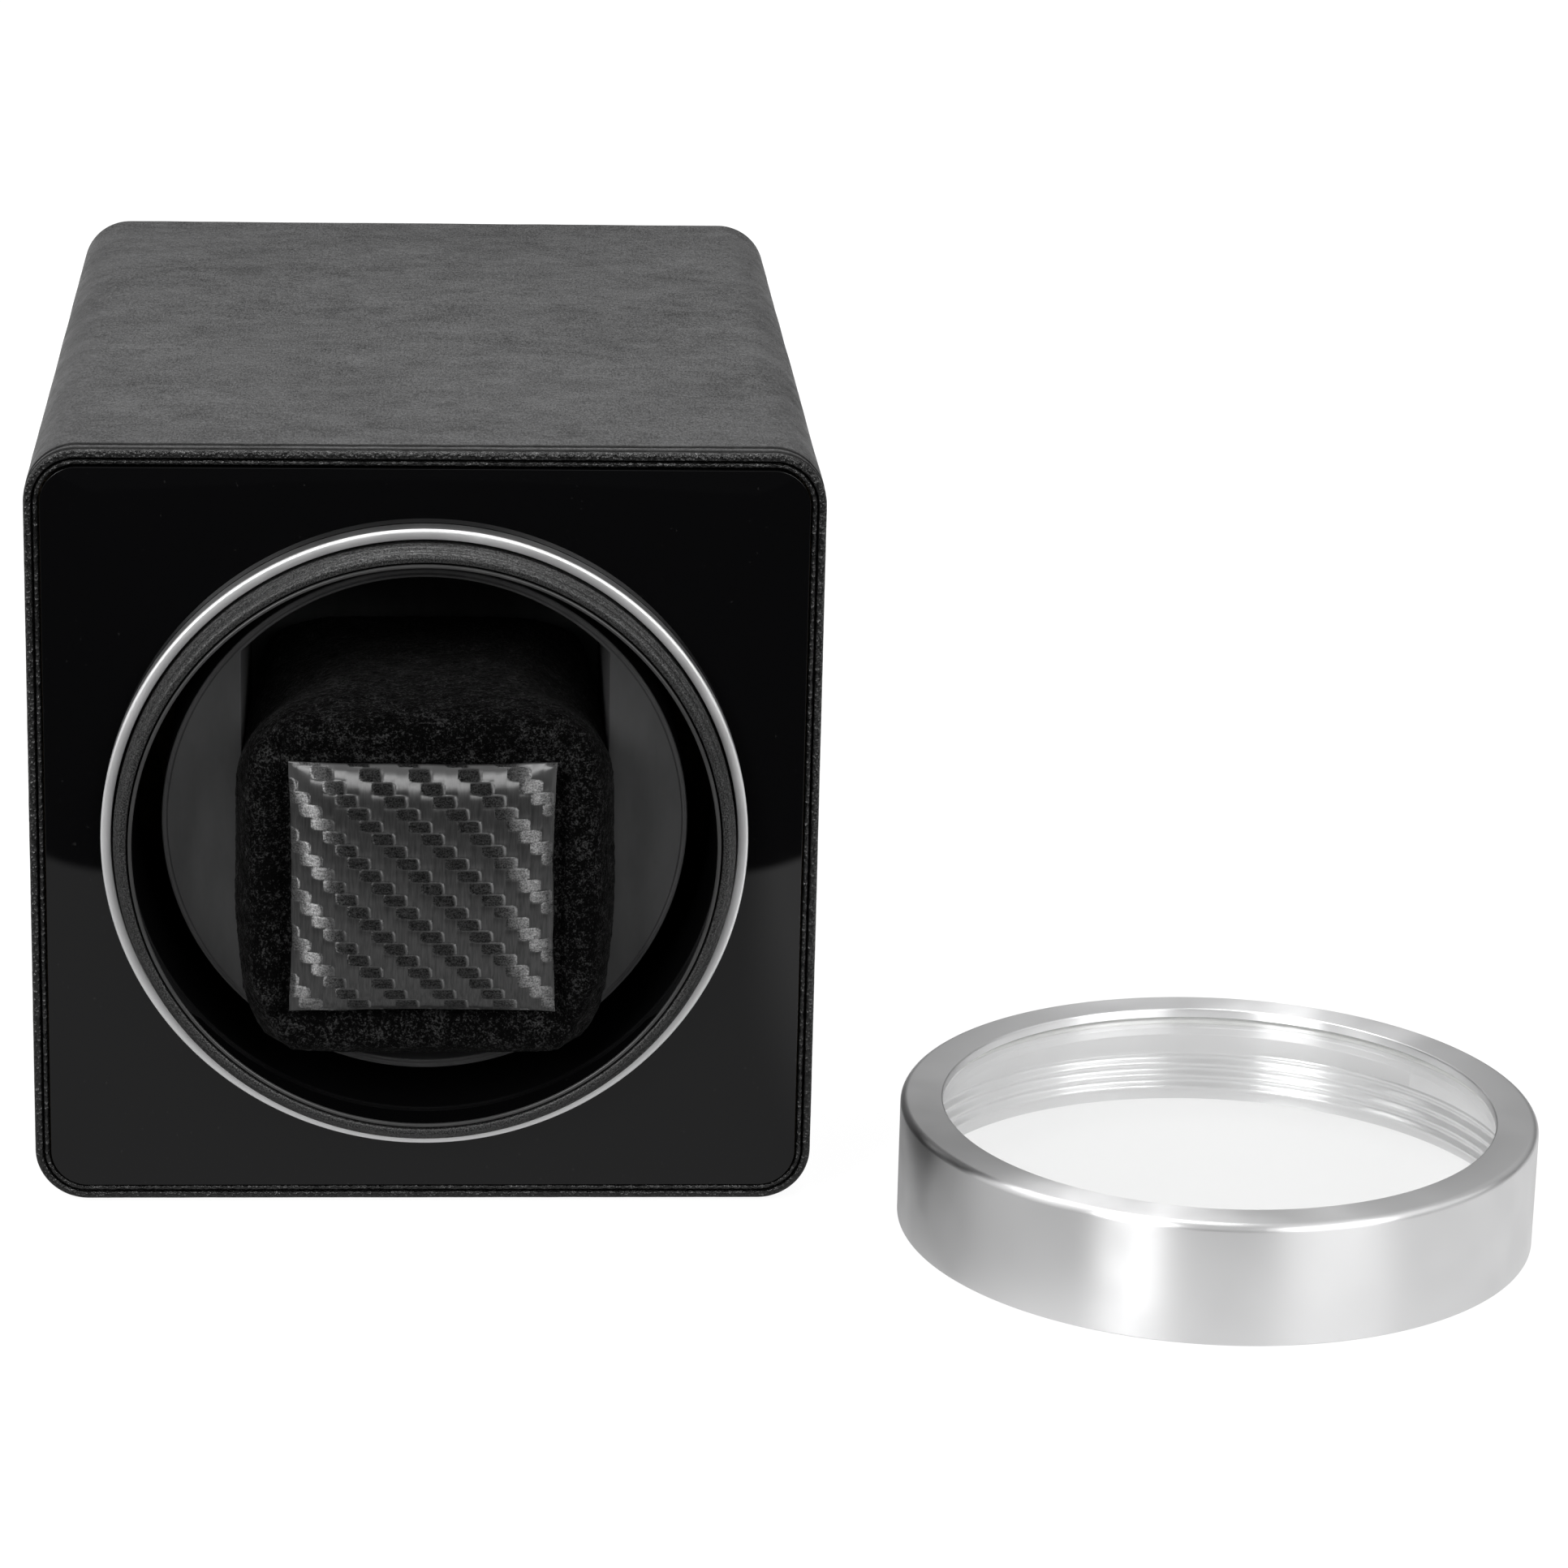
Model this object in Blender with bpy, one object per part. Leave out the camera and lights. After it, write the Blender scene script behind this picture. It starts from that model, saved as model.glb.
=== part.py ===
"""Watch winder: a leather-covered box with a belt-driven drum, and its loose screw-on bezel cap.

Lengths are in millimetres here and become metres when a mesh is made. +Z is up, the drum's opening
faces -Y, and the origin is the middle of the base pad's underside. Every piece is one named object.
"""
import math

import bpy
import bmesh

MM = 0.001
FIT = 0.25                      # clearance between fixed pieces
RUN = 0.06                      # running clearance of a shaft in its bore
RING_STEPS = 64                 # facets round the large rings
THREAD_PITCH = 2.0

# box
WIDTH = 118.0
BASE_Z = 0.6                    # underside of the leather
TOP_Z = 118.2
MID_Z = (BASE_Z + TOP_Z) / 2    # drum axis height
FRONT_Y = -80.0
REAR_Y = 80.0
CORNER = 8.0
LEATHER = 1.2
SHELL_INSET = LEATHER + FIT
CAVITY_INSET = 10.4
LEDGE_INSET = 5.0
LEDGE_Y = 73.5
PANEL_FRONT = FRONT_Y - 0.35
PANEL_BACK = PANEL_FRONT + 2.9
PANEL_HOLE = 46.5
BACK_FACE = 76.3                # outer face of the back panel
BACK_INNER = BACK_FACE - 2.5
WELT_OUTER = 1.5                # insets of the welt's two sides
WELT_INNER = 2.2
PANEL_EDGE = 2.5                # inset of the front panel's edge
PANEL_BEVEL = 0.22
CREASES = (1.7, 4.1)            # pressed grooves in the leather, behind its front edge
CREASE_HALF = 0.28
CREASE_DEPTH = 0.3
TURN_IN = 4.4                   # how far the leather turns in over the rear edge
BACK_SCREW_EDGE = 7.7           # back screws from the sides
BACK_SCREW_RISE = 36.0          # and from the middle
PAD_HALF = (52.0, 73.0)
PAD_CORNER = 6.0
PAD_THICK = 0.4

# opening ring
FLANGE_OUTER = 48.15
FLANGE_INNER = 46.6
FLANGE_FRONT = -84.0
COLLAR_CREST = 46.2
COLLAR_ROOT = 45.6
COLLAR_INNER = 44.2
COLLAR_FRONT = -88.1
LINER_OUTER = 43.95
LINER_INNER = 43.35
LINER_REAR = -17.0
COLLAR_FACE = 0.9               # flat part of the collar's front

# drum and cushion
DRUM_R = 39.5
DRUM_FRONT = -74.35
DRUM_REAR = -22.0
DRUM_WALL = 1.3
CHANNEL_HALF = 27.45
CHANNEL_FLOOR = -27.0
CHANNEL_SIDE = 1.9              # thickness of the channel's two sides
WEB_SCREW_R = 20.0              # circle of the screws between barrel and back disc
CUSHION_Z = 54.9
CUSHION_HANG = 1.5              # the front of the cushion hangs lower than its back
PATCH_X = -0.4
PATCH_Z = 54.7

# drive
AXLE_R = 3.0
PULLEY_FRONT = -12.0
PULLEY_REAR = -5.0
DRUM_PULLEY_R = 17.0
DRUM_GROOVE_R = 15.0
MOTOR_PULLEY_R = 6.0
MOTOR_GROOVE_R = 4.2
BELT_GAP = 0.3
BELT_THICK = 1.0
BELT_HALF = 2.0
SET_SCREW_Y = -13.4
PLATE_FRONT = -1.0
PLATE_REAR = 3.0
MOTOR_Z = MID_Z - 33.0
MOTOR_SHAFT_R = 2.0
MOTOR_SCREW_X = 8.5

# cap, lying on the floor window-up beside the box
CAP_X = 120.3
CAP_Y = -87.0
CAP_R = 48.2
CAP_HEIGHT = 18.8
CAP_WINDOW = 41.8
CAP_CREST = 45.9
CAP_ROOT = 46.6
CAP_BORE = 45.6
CAP_THREAD_TOP = 8.2
CAP_ROUND = 1.2                 # rounding of the cap's upper edge
GLASS_R = 45.3

# rear controls
CONTROL_Z = MID_Z
ROCKER_X = -26.0
JACK_X = 26.0
ROCKER_PIVOT_Y = 73.0
ROCKER_TILT = 9.0
KNOB_PIVOT_Y = 80.0
BOARD_X = 28.0                  # standoffs of the control board
BOARD_LOW_Z = 80.0
BOARD_HIGH_Z = 102.0
BOARD_MARGIN = 5.0


def clear_scene():
    for obj in list(bpy.data.objects):
        bpy.data.objects.remove(obj, do_unlink=True)


def make_material(name, color, roughness, metallic=0.0, alpha=1.0):
    mat = bpy.data.materials.new(name)
    mat.use_nodes = True
    shader = mat.node_tree.nodes["Principled BSDF"]
    shader.inputs["Base Color"].default_value = (*color, 1.0)
    shader.inputs["Roughness"].default_value = roughness
    shader.inputs["Metallic"].default_value = metallic
    shader.inputs["Alpha"].default_value = alpha
    return mat


def add_mesh(name, verts, faces, look, pivot=(0, 0, 0)):
    """One closed piece from millimetre coordinates, with its origin at pivot."""
    mesh = bpy.data.meshes.new(name)
    local = [tuple((v[i] - pivot[i]) * MM for i in range(3)) for v in verts]
    mesh.from_pydata(local, [], faces)
    bm = bmesh.new()
    bm.from_mesh(mesh)
    bmesh.ops.recalc_face_normals(bm, faces=bm.faces)
    bm.to_mesh(mesh)
    bm.free()
    mesh.polygons.foreach_set("use_smooth", [True] * len(mesh.polygons))
    mesh.set_sharp_from_angle(angle=math.radians(32))
    mesh.materials.append(make_material(name, *look))
    obj = bpy.data.objects.new(name, mesh)
    obj.location = [c * MM for c in pivot]
    bpy.context.scene.collection.objects.link(obj)
    return obj


def skin(rings, closed):
    """Vertices and faces joining rings of equal length; a ring of one vertex is a pole."""
    verts = []
    starts = []
    for ring in rings:
        starts.append(len(verts))
        verts.extend(ring)
    faces = []
    pairs = list(zip(range(len(rings)), range(1, len(rings))))
    if closed:
        pairs.append((len(rings) - 1, 0))
    for a, b in pairs:
        count = max(len(rings[a]), len(rings[b]))
        for i in range(count):
            j = (i + 1) % count
            quad = []
            for ring, k in ((a, i), (a, j), (b, j), (b, i)):
                index = starts[ring] + (k if len(rings[ring]) > 1 else 0)
                if index not in quad:
                    quad.append(index)
            faces.append(quad)
    return verts, faces


def circle(radius, segments, turn=0.0):
    if radius == 0:
        return [(0.0, 0.0)]
    step = 2 * math.pi / segments
    return [(radius * math.cos(i * step + turn), radius * math.sin(i * step + turn))
            for i in range(segments)]


def revolve(name, profile, look, centre=(0, MID_Z), segments=32, axis="Y", pivot=None, turn=0.0):
    """Solid of revolution about Y or Z from (radius, place along the axis) points."""
    rings = []
    for radius, along in profile:
        flat = circle(radius, segments, turn)
        if axis == "Y":
            rings.append([(centre[0] + u, along, centre[1] + v) for u, v in flat])
        else:
            rings.append([(centre[0] + u, centre[1] + v, along) for u, v in flat])
    verts, faces = skin(rings, closed=profile[0][0] > 0)
    return add_mesh(name, verts, faces, look, pivot or (0, 0, 0))


def rounded_rect(half_w, half_h, radius, corner_steps=6, side_steps=1):
    """Anticlockwise outline with evenly divided sides."""
    points = []
    corners = [(half_w - radius, half_h - radius), (radius - half_w, half_h - radius),
               (radius - half_w, radius - half_h), (half_w - radius, radius - half_h)]
    for quarter, (cx, cz) in enumerate(corners):
        for step in range(corner_steps + 1):
            angle = math.pi / 2 * (quarter + step / corner_steps)
            points.append((cx + radius * math.cos(angle), cz + radius * math.sin(angle)))
        last = points[-1]
        angle = math.pi / 2 * (quarter + 1)
        nx, nz = corners[(quarter + 1) % 4]
        ahead = (nx + radius * math.cos(angle), nz + radius * math.sin(angle))
        for step in range(1, side_steps):
            t = step / side_steps
            points.append((last[0] + (ahead[0] - last[0]) * t, last[1] + (ahead[1] - last[1]) * t))
    return points


def case_outline(inset, **steps):
    half_h = (TOP_Z - BASE_Z) / 2
    return rounded_rect(WIDTH / 2 - inset, half_h - inset, max(CORNER - inset, 1.5), **steps)


def at_depth(outline, y, x=0.0, z=MID_Z):
    return [(x + u, y, z + v) for u, v in outline]


def case_sweep(name, profile, look):
    """Frame swept round the box from (inset, y) points."""
    rings = [at_depth(case_outline(inset), y) for inset, y in profile]
    return add_mesh(name, *skin(rings, closed=True), look)


def loft(name, rings, look, pivot=(0, 0, 0)):
    """Solid through a stack of rings, capped at both ends."""
    verts, faces = skin(rings, closed=False)
    faces.append(list(range(len(rings[0])))[::-1])
    faces.append([len(verts) - len(rings[-1]) + i for i in range(len(rings[-1]))])
    return add_mesh(name, verts, faces, look, pivot)


def block(name, low, high, look):
    (x0, y0, z0), (x1, y1, z1) = low, high
    rings = [[(x0, y, z0), (x1, y, z0), (x1, y, z1), (x0, y, z1)] for y in (y0, y1)]
    return loft(name, rings, look)


def cut(target, cutter):
    cutter.hide_render = True
    cutter.display_type = "WIRE"
    modifier = target.modifiers.new(cutter.name, "BOOLEAN")
    modifier.operation = "DIFFERENCE"
    modifier.solver = "EXACT"
    modifier.object = cutter


def drill(target, name, x, z, radius, y0, y1, segments=16):
    """Round hole along Y, turned a little so that its corners miss the target's own edges."""
    cut(target, revolve(name, [(0, y0), (radius, y0), (radius, y1), (0, y1)], CUTTER,
                        (x, z), segments, turn=0.13))


def machine_screw(name, x, z, head_r, shank_r, seat_y, tip_y, look):
    """Round-headed screw along Y with a driver recess; the head lies on the far side of seat_y."""
    out = 1.0 if tip_y < seat_y else -1.0
    top = seat_y + out * 1.5
    profile = [(0, top - out * 0.9), (0.55, top - out * 0.8), (1.0, top), (head_r * 0.75, top),
               (head_r, top - out * 0.6), (head_r, seat_y), (shank_r, seat_y),
               (shank_r, tip_y + out * 0.6), (0, tip_y)]
    return revolve(name, profile, look, (x, z), 12)


CUTTER = ((0.5, 0.5, 0.5), 0.5)
LEATHER_LOOK = ((0.035, 0.035, 0.036), 0.55)
BOARD_LOOK = ((0.12, 0.10, 0.08), 0.85)
GLOSS_BLACK = ((0.004, 0.004, 0.005), 0.05)
MATTE_BLACK = ((0.025, 0.025, 0.026), 0.5)
ALUMINIUM = ((0.80, 0.80, 0.81), 0.28, 1.0)
STEEL = ((0.55, 0.55, 0.56), 0.30, 1.0)
BRASS = ((0.70, 0.55, 0.28), 0.30, 1.0)
VELVET = ((0.010, 0.010, 0.011), 0.95)
RUBBER = ((0.02, 0.02, 0.02), 0.8)
GREEN_BOARD = ((0.02, 0.16, 0.07), 0.5)
GLASS = ((0.90, 0.93, 0.92), 0.02, 0.0, 0.30)


def build_box():
    groove = []
    for distance in CREASES:
        centre = FRONT_Y + distance
        groove += [(0, centre - CREASE_HALF), (CREASE_DEPTH, centre), (0, centre + CREASE_HALF)]
    nose = [(LEATHER, FRONT_Y + 0.9), (1.08, FRONT_Y + 0.2), (0.8, FRONT_Y),
            (0.42, FRONT_Y + 0.06), (0.12, FRONT_Y + 0.4), (0, FRONT_Y + 1.0)]
    turned_edge = [(0, REAR_Y - 0.6), (0.6, REAR_Y), (TURN_IN, REAR_Y), (TURN_IN, REAR_Y - 0.7),
                   (LEATHER, REAR_Y - 0.7)]
    case_sweep("leather_wrap", nose + groove + turned_edge, LEATHER_LOOK)

    shell = case_sweep("case_shell", [
        (SHELL_INSET, PANEL_BACK + 0.3), (CAVITY_INSET, PANEL_BACK + 0.3), (CAVITY_INSET, LEDGE_Y),
        (LEDGE_INSET, LEDGE_Y), (LEDGE_INSET, REAR_Y - 1.0), (SHELL_INSET, REAR_Y - 1.0)], BOARD_LOOK)

    crown = (WELT_OUTER + WELT_INNER) / 2
    case_sweep("front_welt", [
        (WELT_INNER, PANEL_BACK), (WELT_OUTER, PANEL_BACK), (WELT_OUTER, FRONT_Y + 0.5),
        (WELT_OUTER + 0.1, FRONT_Y + 0.14), (crown, FRONT_Y), (WELT_INNER - 0.1, FRONT_Y + 0.14),
        (WELT_INNER, FRONT_Y + 0.5)], LEATHER_LOOK)

    steps = {"corner_steps": 6, "side_steps": 14}
    edge = case_outline(PANEL_EDGE, **steps)
    lip = case_outline(PANEL_EDGE + PANEL_BEVEL, **steps)
    hole = [(PANEL_HOLE * u / math.hypot(u, v), PANEL_HOLE * v / math.hypot(u, v)) for u, v in edge]
    rings = [at_depth(hole, PANEL_FRONT), at_depth(lip, PANEL_FRONT),
             at_depth(edge, PANEL_FRONT + PANEL_BEVEL), at_depth(edge, PANEL_BACK),
             at_depth(hole, PANEL_BACK)]
    add_mesh("front_panel", *skin(rings, closed=True), GLOSS_BLACK)

    back = loft("back_panel", [at_depth(case_outline(LEDGE_INSET + 0.3), y)
                               for y in (BACK_INNER, BACK_FACE)], MATTE_BLACK)
    drill(back, "cut_jack", JACK_X, CONTROL_Z, 5.5, BACK_INNER - 1, BACK_FACE + 1)
    drill(back, "cut_bushing", 0, CONTROL_Z, 3.75, BACK_INNER - 1, BACK_FACE + 1)
    cut(back, block("cut_rocker", (ROCKER_X - 6.7, BACK_INNER - 1, CONTROL_Z - 9.7),
                    (ROCKER_X + 6.7, BACK_FACE + 1, CONTROL_Z + 9.7), CUTTER))
    side = WIDTH / 2 - BACK_SCREW_EDGE
    spots = [(x, MID_Z + rise) for rise in (-BACK_SCREW_RISE, BACK_SCREW_RISE) for x in (-side, side)]
    for number, (x, z) in enumerate(spots, 1):
        machine_screw(f"back_screw_{number}", x, z, 2.2, 0.95, BACK_FACE + 0.2, LEDGE_Y - 9.0, STEEL)
        drill(back, f"cut_back_hole_{number}", x, z, 1.25, BACK_INNER - 1, BACK_FACE + 1)
        drill(shell, f"cut_shell_hole_{number}", x, z, 1.25, LEDGE_Y - 10.0, LEDGE_Y + 1)

    pad = rounded_rect(*PAD_HALF, PAD_CORNER, corner_steps=4)
    rings = [[(u, v, z) for u, v in pad] for z in (0.0, PAD_THICK)]
    loft("base_pad", rings, RUBBER)


def build_opening():
    revolve("ring_flange", [
        (FLANGE_INNER, PANEL_FRONT - FIT), (FLANGE_OUTER, PANEL_FRONT - FIT),
        (FLANGE_OUTER, FLANGE_FRONT + 0.5), (FLANGE_OUTER - 0.5, FLANGE_FRONT),
        (FLANGE_INNER, FLANGE_FRONT)], ALUMINIUM, segments=RING_STEPS)

    thread = []
    for turn in range(2):
        y = COLLAR_FRONT + 0.7 + THREAD_PITCH * turn
        thread += [(COLLAR_CREST, y), (COLLAR_ROOT, y + THREAD_PITCH / 2)]
    face = [(COLLAR_INNER, COLLAR_FRONT), (COLLAR_INNER + COLLAR_FACE, COLLAR_FRONT)]
    revolve("threaded_collar", face + thread + [
        (COLLAR_CREST, COLLAR_FRONT + 4.7), (COLLAR_CREST, PANEL_BACK + 0.3),
        (COLLAR_CREST + 2.0, PANEL_BACK + 0.3), (COLLAR_CREST + 2.0, PANEL_BACK + 2.3),
        (COLLAR_INNER, PANEL_BACK + 2.3)], MATTE_BLACK, segments=RING_STEPS)

    revolve("liner_tube", [
        (LINER_INNER, COLLAR_FRONT + 0.2), (LINER_INNER + 0.25, COLLAR_FRONT - 0.05),
        (LINER_OUTER, COLLAR_FRONT - 0.05), (LINER_OUTER, LINER_REAR), (LINER_INNER, LINER_REAR)],
        GLOSS_BLACK, segments=RING_STEPS)


def arc_outline(radius, start, end, steps):
    angles = [start + (end - start) * i / steps for i in range(steps + 1)]
    return [(radius * math.cos(a), radius * math.sin(a)) for a in angles]


def build_drum():
    pivot = (0, DRUM_FRONT, MID_Z)
    barrel = revolve("drum_barrel", [
        (0, DRUM_FRONT), (DRUM_R - 0.35, DRUM_FRONT), (DRUM_R, DRUM_FRONT + 0.35),
        (DRUM_R, DRUM_REAR), (0, DRUM_REAR)], MATTE_BLACK, segments=RING_STEPS, pivot=pivot)
    inner = DRUM_R - DRUM_WALL
    half = math.acos(CHANNEL_HALF / inner)
    outline = (arc_outline(inner, half, math.pi - half, 16)
               + arc_outline(inner, math.pi + half, 2 * math.pi - half, 16))
    rings = [at_depth(outline, y) for y in (DRUM_FRONT - 5, CHANNEL_FLOOR)]
    cut(barrel, loft("cut_channel", rings, CUTTER))
    half = math.acos((CHANNEL_HALF + CHANNEL_SIDE) / inner)
    for side in (0, 1):
        turn = math.pi * side
        outline = arc_outline(inner, turn - half, turn + half, 14)
        rings = [at_depth(outline, y) for y in (DRUM_FRONT + 2.0, DRUM_REAR + 2)]
        cut(barrel, loft(f"cut_pocket_{side}", rings, CUTTER))

    back_y = DRUM_REAR + FIT
    disc = revolve("drum_back", [
        (AXLE_R + 0.1, back_y), (DRUM_R, back_y), (DRUM_R, back_y + 2.2), (7.0, back_y + 2.2),
        (7.0, -15.1), (AXLE_R + 0.1, -15.1)], MATTE_BLACK, segments=48, pivot=pivot)
    for number in range(3):
        angle = math.radians(90 + 120 * number)
        x = WEB_SCREW_R * math.cos(angle)
        z = MID_Z + WEB_SCREW_R * math.sin(angle)
        machine_screw(f"drum_screw_{number + 1}", x, z, 2.1, 0.9, back_y + 2.4, DRUM_REAR - 3.6, STEEL)
        drill(disc, f"cut_disc_hole_{number}", x, z, 1.2, back_y - 1, back_y + 3)
        drill(barrel, f"cut_web_hole_{number}", x, z, 1.2, DRUM_REAR - 4.0, DRUM_REAR + 1)

    revolve("drum_axle", [
        (0, back_y + 0.1), (AXLE_R, back_y + 0.1), (AXLE_R, 9.5), (AXLE_R - 0.4, 10), (0, 10)],
        STEEL, segments=32, pivot=pivot)
    revolve("axle_circlip", [
        (AXLE_R + 0.1, 6.9), (5.0, 6.9), (5.0, 7.7), (AXLE_R + 0.1, 7.7)], STEEL, pivot=pivot)
    pulley = revolve("drum_pulley", [
        (AXLE_R + 0.1, -14.8), (7.5, -14.8), (7.5, PULLEY_FRONT), (DRUM_PULLEY_R, PULLEY_FRONT),
        (DRUM_PULLEY_R, PULLEY_FRONT + 1.0), (DRUM_GROOVE_R, PULLEY_FRONT + 1.4),
        (DRUM_GROOVE_R, PULLEY_REAR - 1.4), (DRUM_PULLEY_R, PULLEY_REAR - 1.0),
        (DRUM_PULLEY_R, PULLEY_REAR), (AXLE_R + 0.1, PULLEY_REAR)],
        MATTE_BLACK, segments=36, pivot=pivot)
    cut(pulley, revolve("cut_set_screw", [(0, MID_Z), (1.25, MID_Z), (1.25, MID_Z + 9), (0, MID_Z + 9)],
                        CUTTER, (0, SET_SCREW_Y), 16, axis="Z"))
    revolve("pulley_set_screw", [
        (0, MID_Z + AXLE_R + 0.1), (1.1, MID_Z + AXLE_R + 0.1), (1.1, MID_Z + 7.2), (0.6, MID_Z + 7.2),
        (0, MID_Z + 6.2)], STEEL, (0, SET_SCREW_Y), 16, axis="Z")


def build_cushion():
    pivot = (0, DRUM_FRONT, MID_Z)
    # depth, half width, half height, corner radius, share of the hang
    sections = [(-91.0, 24.3, 23.9, 6.5, 1), (-90.6, 26.4, 26.0, 7, 1), (-89.2, 27.9, 27.4, 7.5, 1),
                (-86.5, 28.55, 27.8, 7.5, 1), (-80.0, 28.55, 27.8, 7.5, 1), (-76.0, 27.7, 26.3, 8, 0.2),
                (-73.6, 27.1, 26.3, 8, 0), (-31.0, 27.1, 26.3, 8, 0), (-29.0, 26.4, 25.6, 7.5, 0),
                (-27.8, 24.5, 23.6, 7, 0)]
    rings = [at_depth(rounded_rect(w, h, r, corner_steps=5), y, 0, CUSHION_Z - share * CUSHION_HANG)
             for y, w, h, r, share in sections]
    loft("watch_cushion", rings, VELVET, pivot)

    sections = [(-91.25, 19.8, 19.4), (-91.6, 20.25, 19.85), (-92.2, 19.9, 19.5), (-92.8, 18.4, 18.0),
                (-93.1, 15.5, 15.1)]
    rings = [at_depth(rounded_rect(w, h, 0.8, corner_steps=2), y, PATCH_X, PATCH_Z)
             for y, w, h in sections]
    loft("cushion_patch", rings, LEATHER_LOOK, pivot)


def build_drive():
    inner_half = WIDTH / 2 - CAVITY_INSET - 0.3
    inner_high = (TOP_Z - BASE_Z) / 2 - CAVITY_INSET - 0.3
    outline = rounded_rect(inner_half, inner_high, 1.5, corner_steps=2)
    plate = loft("drive_plate", [at_depth(outline, y) for y in (PLATE_FRONT, PLATE_REAR)], BOARD_LOOK)
    drill(plate, "cut_bush", 0, MID_Z, 5.75, PLATE_FRONT - 1, PLATE_REAR + 1, 32)
    drill(plate, "cut_motor_boss", 0, MOTOR_Z, 4.5, PLATE_FRONT - 1, PLATE_REAR + 1, 24)

    revolve("bearing_bush", [
        (AXLE_R + RUN, PLATE_FRONT - 1.8), (7.5, PLATE_FRONT - 1.8), (7.5, PLATE_FRONT - FIT),
        (5.5, PLATE_FRONT - FIT), (5.5, 6.6), (AXLE_R + RUN, 6.6)], BRASS)

    gearbox = solid_with_bore("motor_gearbox", 12.0, PLATE_REAR + FIT, 18.0, MOTOR_SHAFT_R + RUN, 16.2,
                              (0, MOTOR_Z), STEEL)
    revolve("motor_can", [
        (0, 18.3), (11.5, 18.3), (11.5, 41.5), (11.0, 42), (4, 42), (4, 44), (0, 44)],
        STEEL, (0, MOTOR_Z), 32)
    for number, x in enumerate((-MOTOR_SCREW_X, MOTOR_SCREW_X), 1):
        machine_screw(f"motor_screw_{number}", x, MOTOR_Z, 2.4, 1.0, PLATE_FRONT - 0.2, 9.0, STEEL)
        drill(plate, f"cut_plate_screw_{number}", x, MOTOR_Z, 1.3, PLATE_FRONT - 1, PLATE_REAR + 1)
        drill(gearbox, f"cut_gearbox_screw_{number}", x, MOTOR_Z, 1.3, PLATE_REAR - 1, 9.5)

    pivot = (0, PULLEY_FRONT, MOTOR_Z)
    revolve("motor_shaft", [
        (0, PULLEY_FRONT - 0.8), (MOTOR_SHAFT_R, PULLEY_FRONT - 0.8), (MOTOR_SHAFT_R, 15.9), (0, 15.9)],
        STEEL, (0, MOTOR_Z), 24, pivot=pivot)
    revolve("motor_pulley", [
        (MOTOR_SHAFT_R + 0.1, PULLEY_FRONT), (MOTOR_PULLEY_R, PULLEY_FRONT),
        (MOTOR_PULLEY_R, PULLEY_FRONT + 1.0), (MOTOR_GROOVE_R, PULLEY_FRONT + 1.4),
        (MOTOR_GROOVE_R, PULLEY_REAR - 1.4), (MOTOR_PULLEY_R, PULLEY_REAR - 1.0),
        (MOTOR_PULLEY_R, PULLEY_REAR), (MOTOR_SHAFT_R + 0.1, PULLEY_REAR)],
        MATTE_BLACK, (0, MOTOR_Z), 24, pivot=pivot)
    build_belt()


def solid_with_bore(name, radius, y0, y1, bore, bore_end, centre, look):
    """Cylinder from y0 to y1 with a blind bore open at y0."""
    return revolve(name, [
        (0, bore_end), (bore, bore_end), (bore, y0), (radius, y0), (radius, y1), (0, y1)], look, centre)


def build_belt():
    """Flat belt round both pulleys: two arcs joined by straight runs, offset to its two faces."""
    distance = MID_Z - MOTOR_Z
    rings = []
    middle = (PULLEY_FRONT + PULLEY_REAR) / 2
    corners = ((0, -BELT_HALF), (BELT_THICK, -BELT_HALF), (BELT_THICK, BELT_HALF), (0, BELT_HALF))
    for offset, half in corners:
        upper = DRUM_GROOVE_R + BELT_GAP + offset
        lower = MOTOR_GROOVE_R + BELT_GAP + offset
        lean = math.asin((upper - lower) / distance)
        top = arc_outline(upper, -lean, math.pi + lean, 28)
        low = arc_outline(lower, math.pi + lean, 2 * math.pi - lean, 12)
        rings.append([(u, middle + half, MID_Z + v) for u, v in top]
                     + [(u, middle + half, MOTOR_Z + v) for u, v in low])
    add_mesh("drive_belt", *skin(rings, closed=True), RUBBER)


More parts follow.
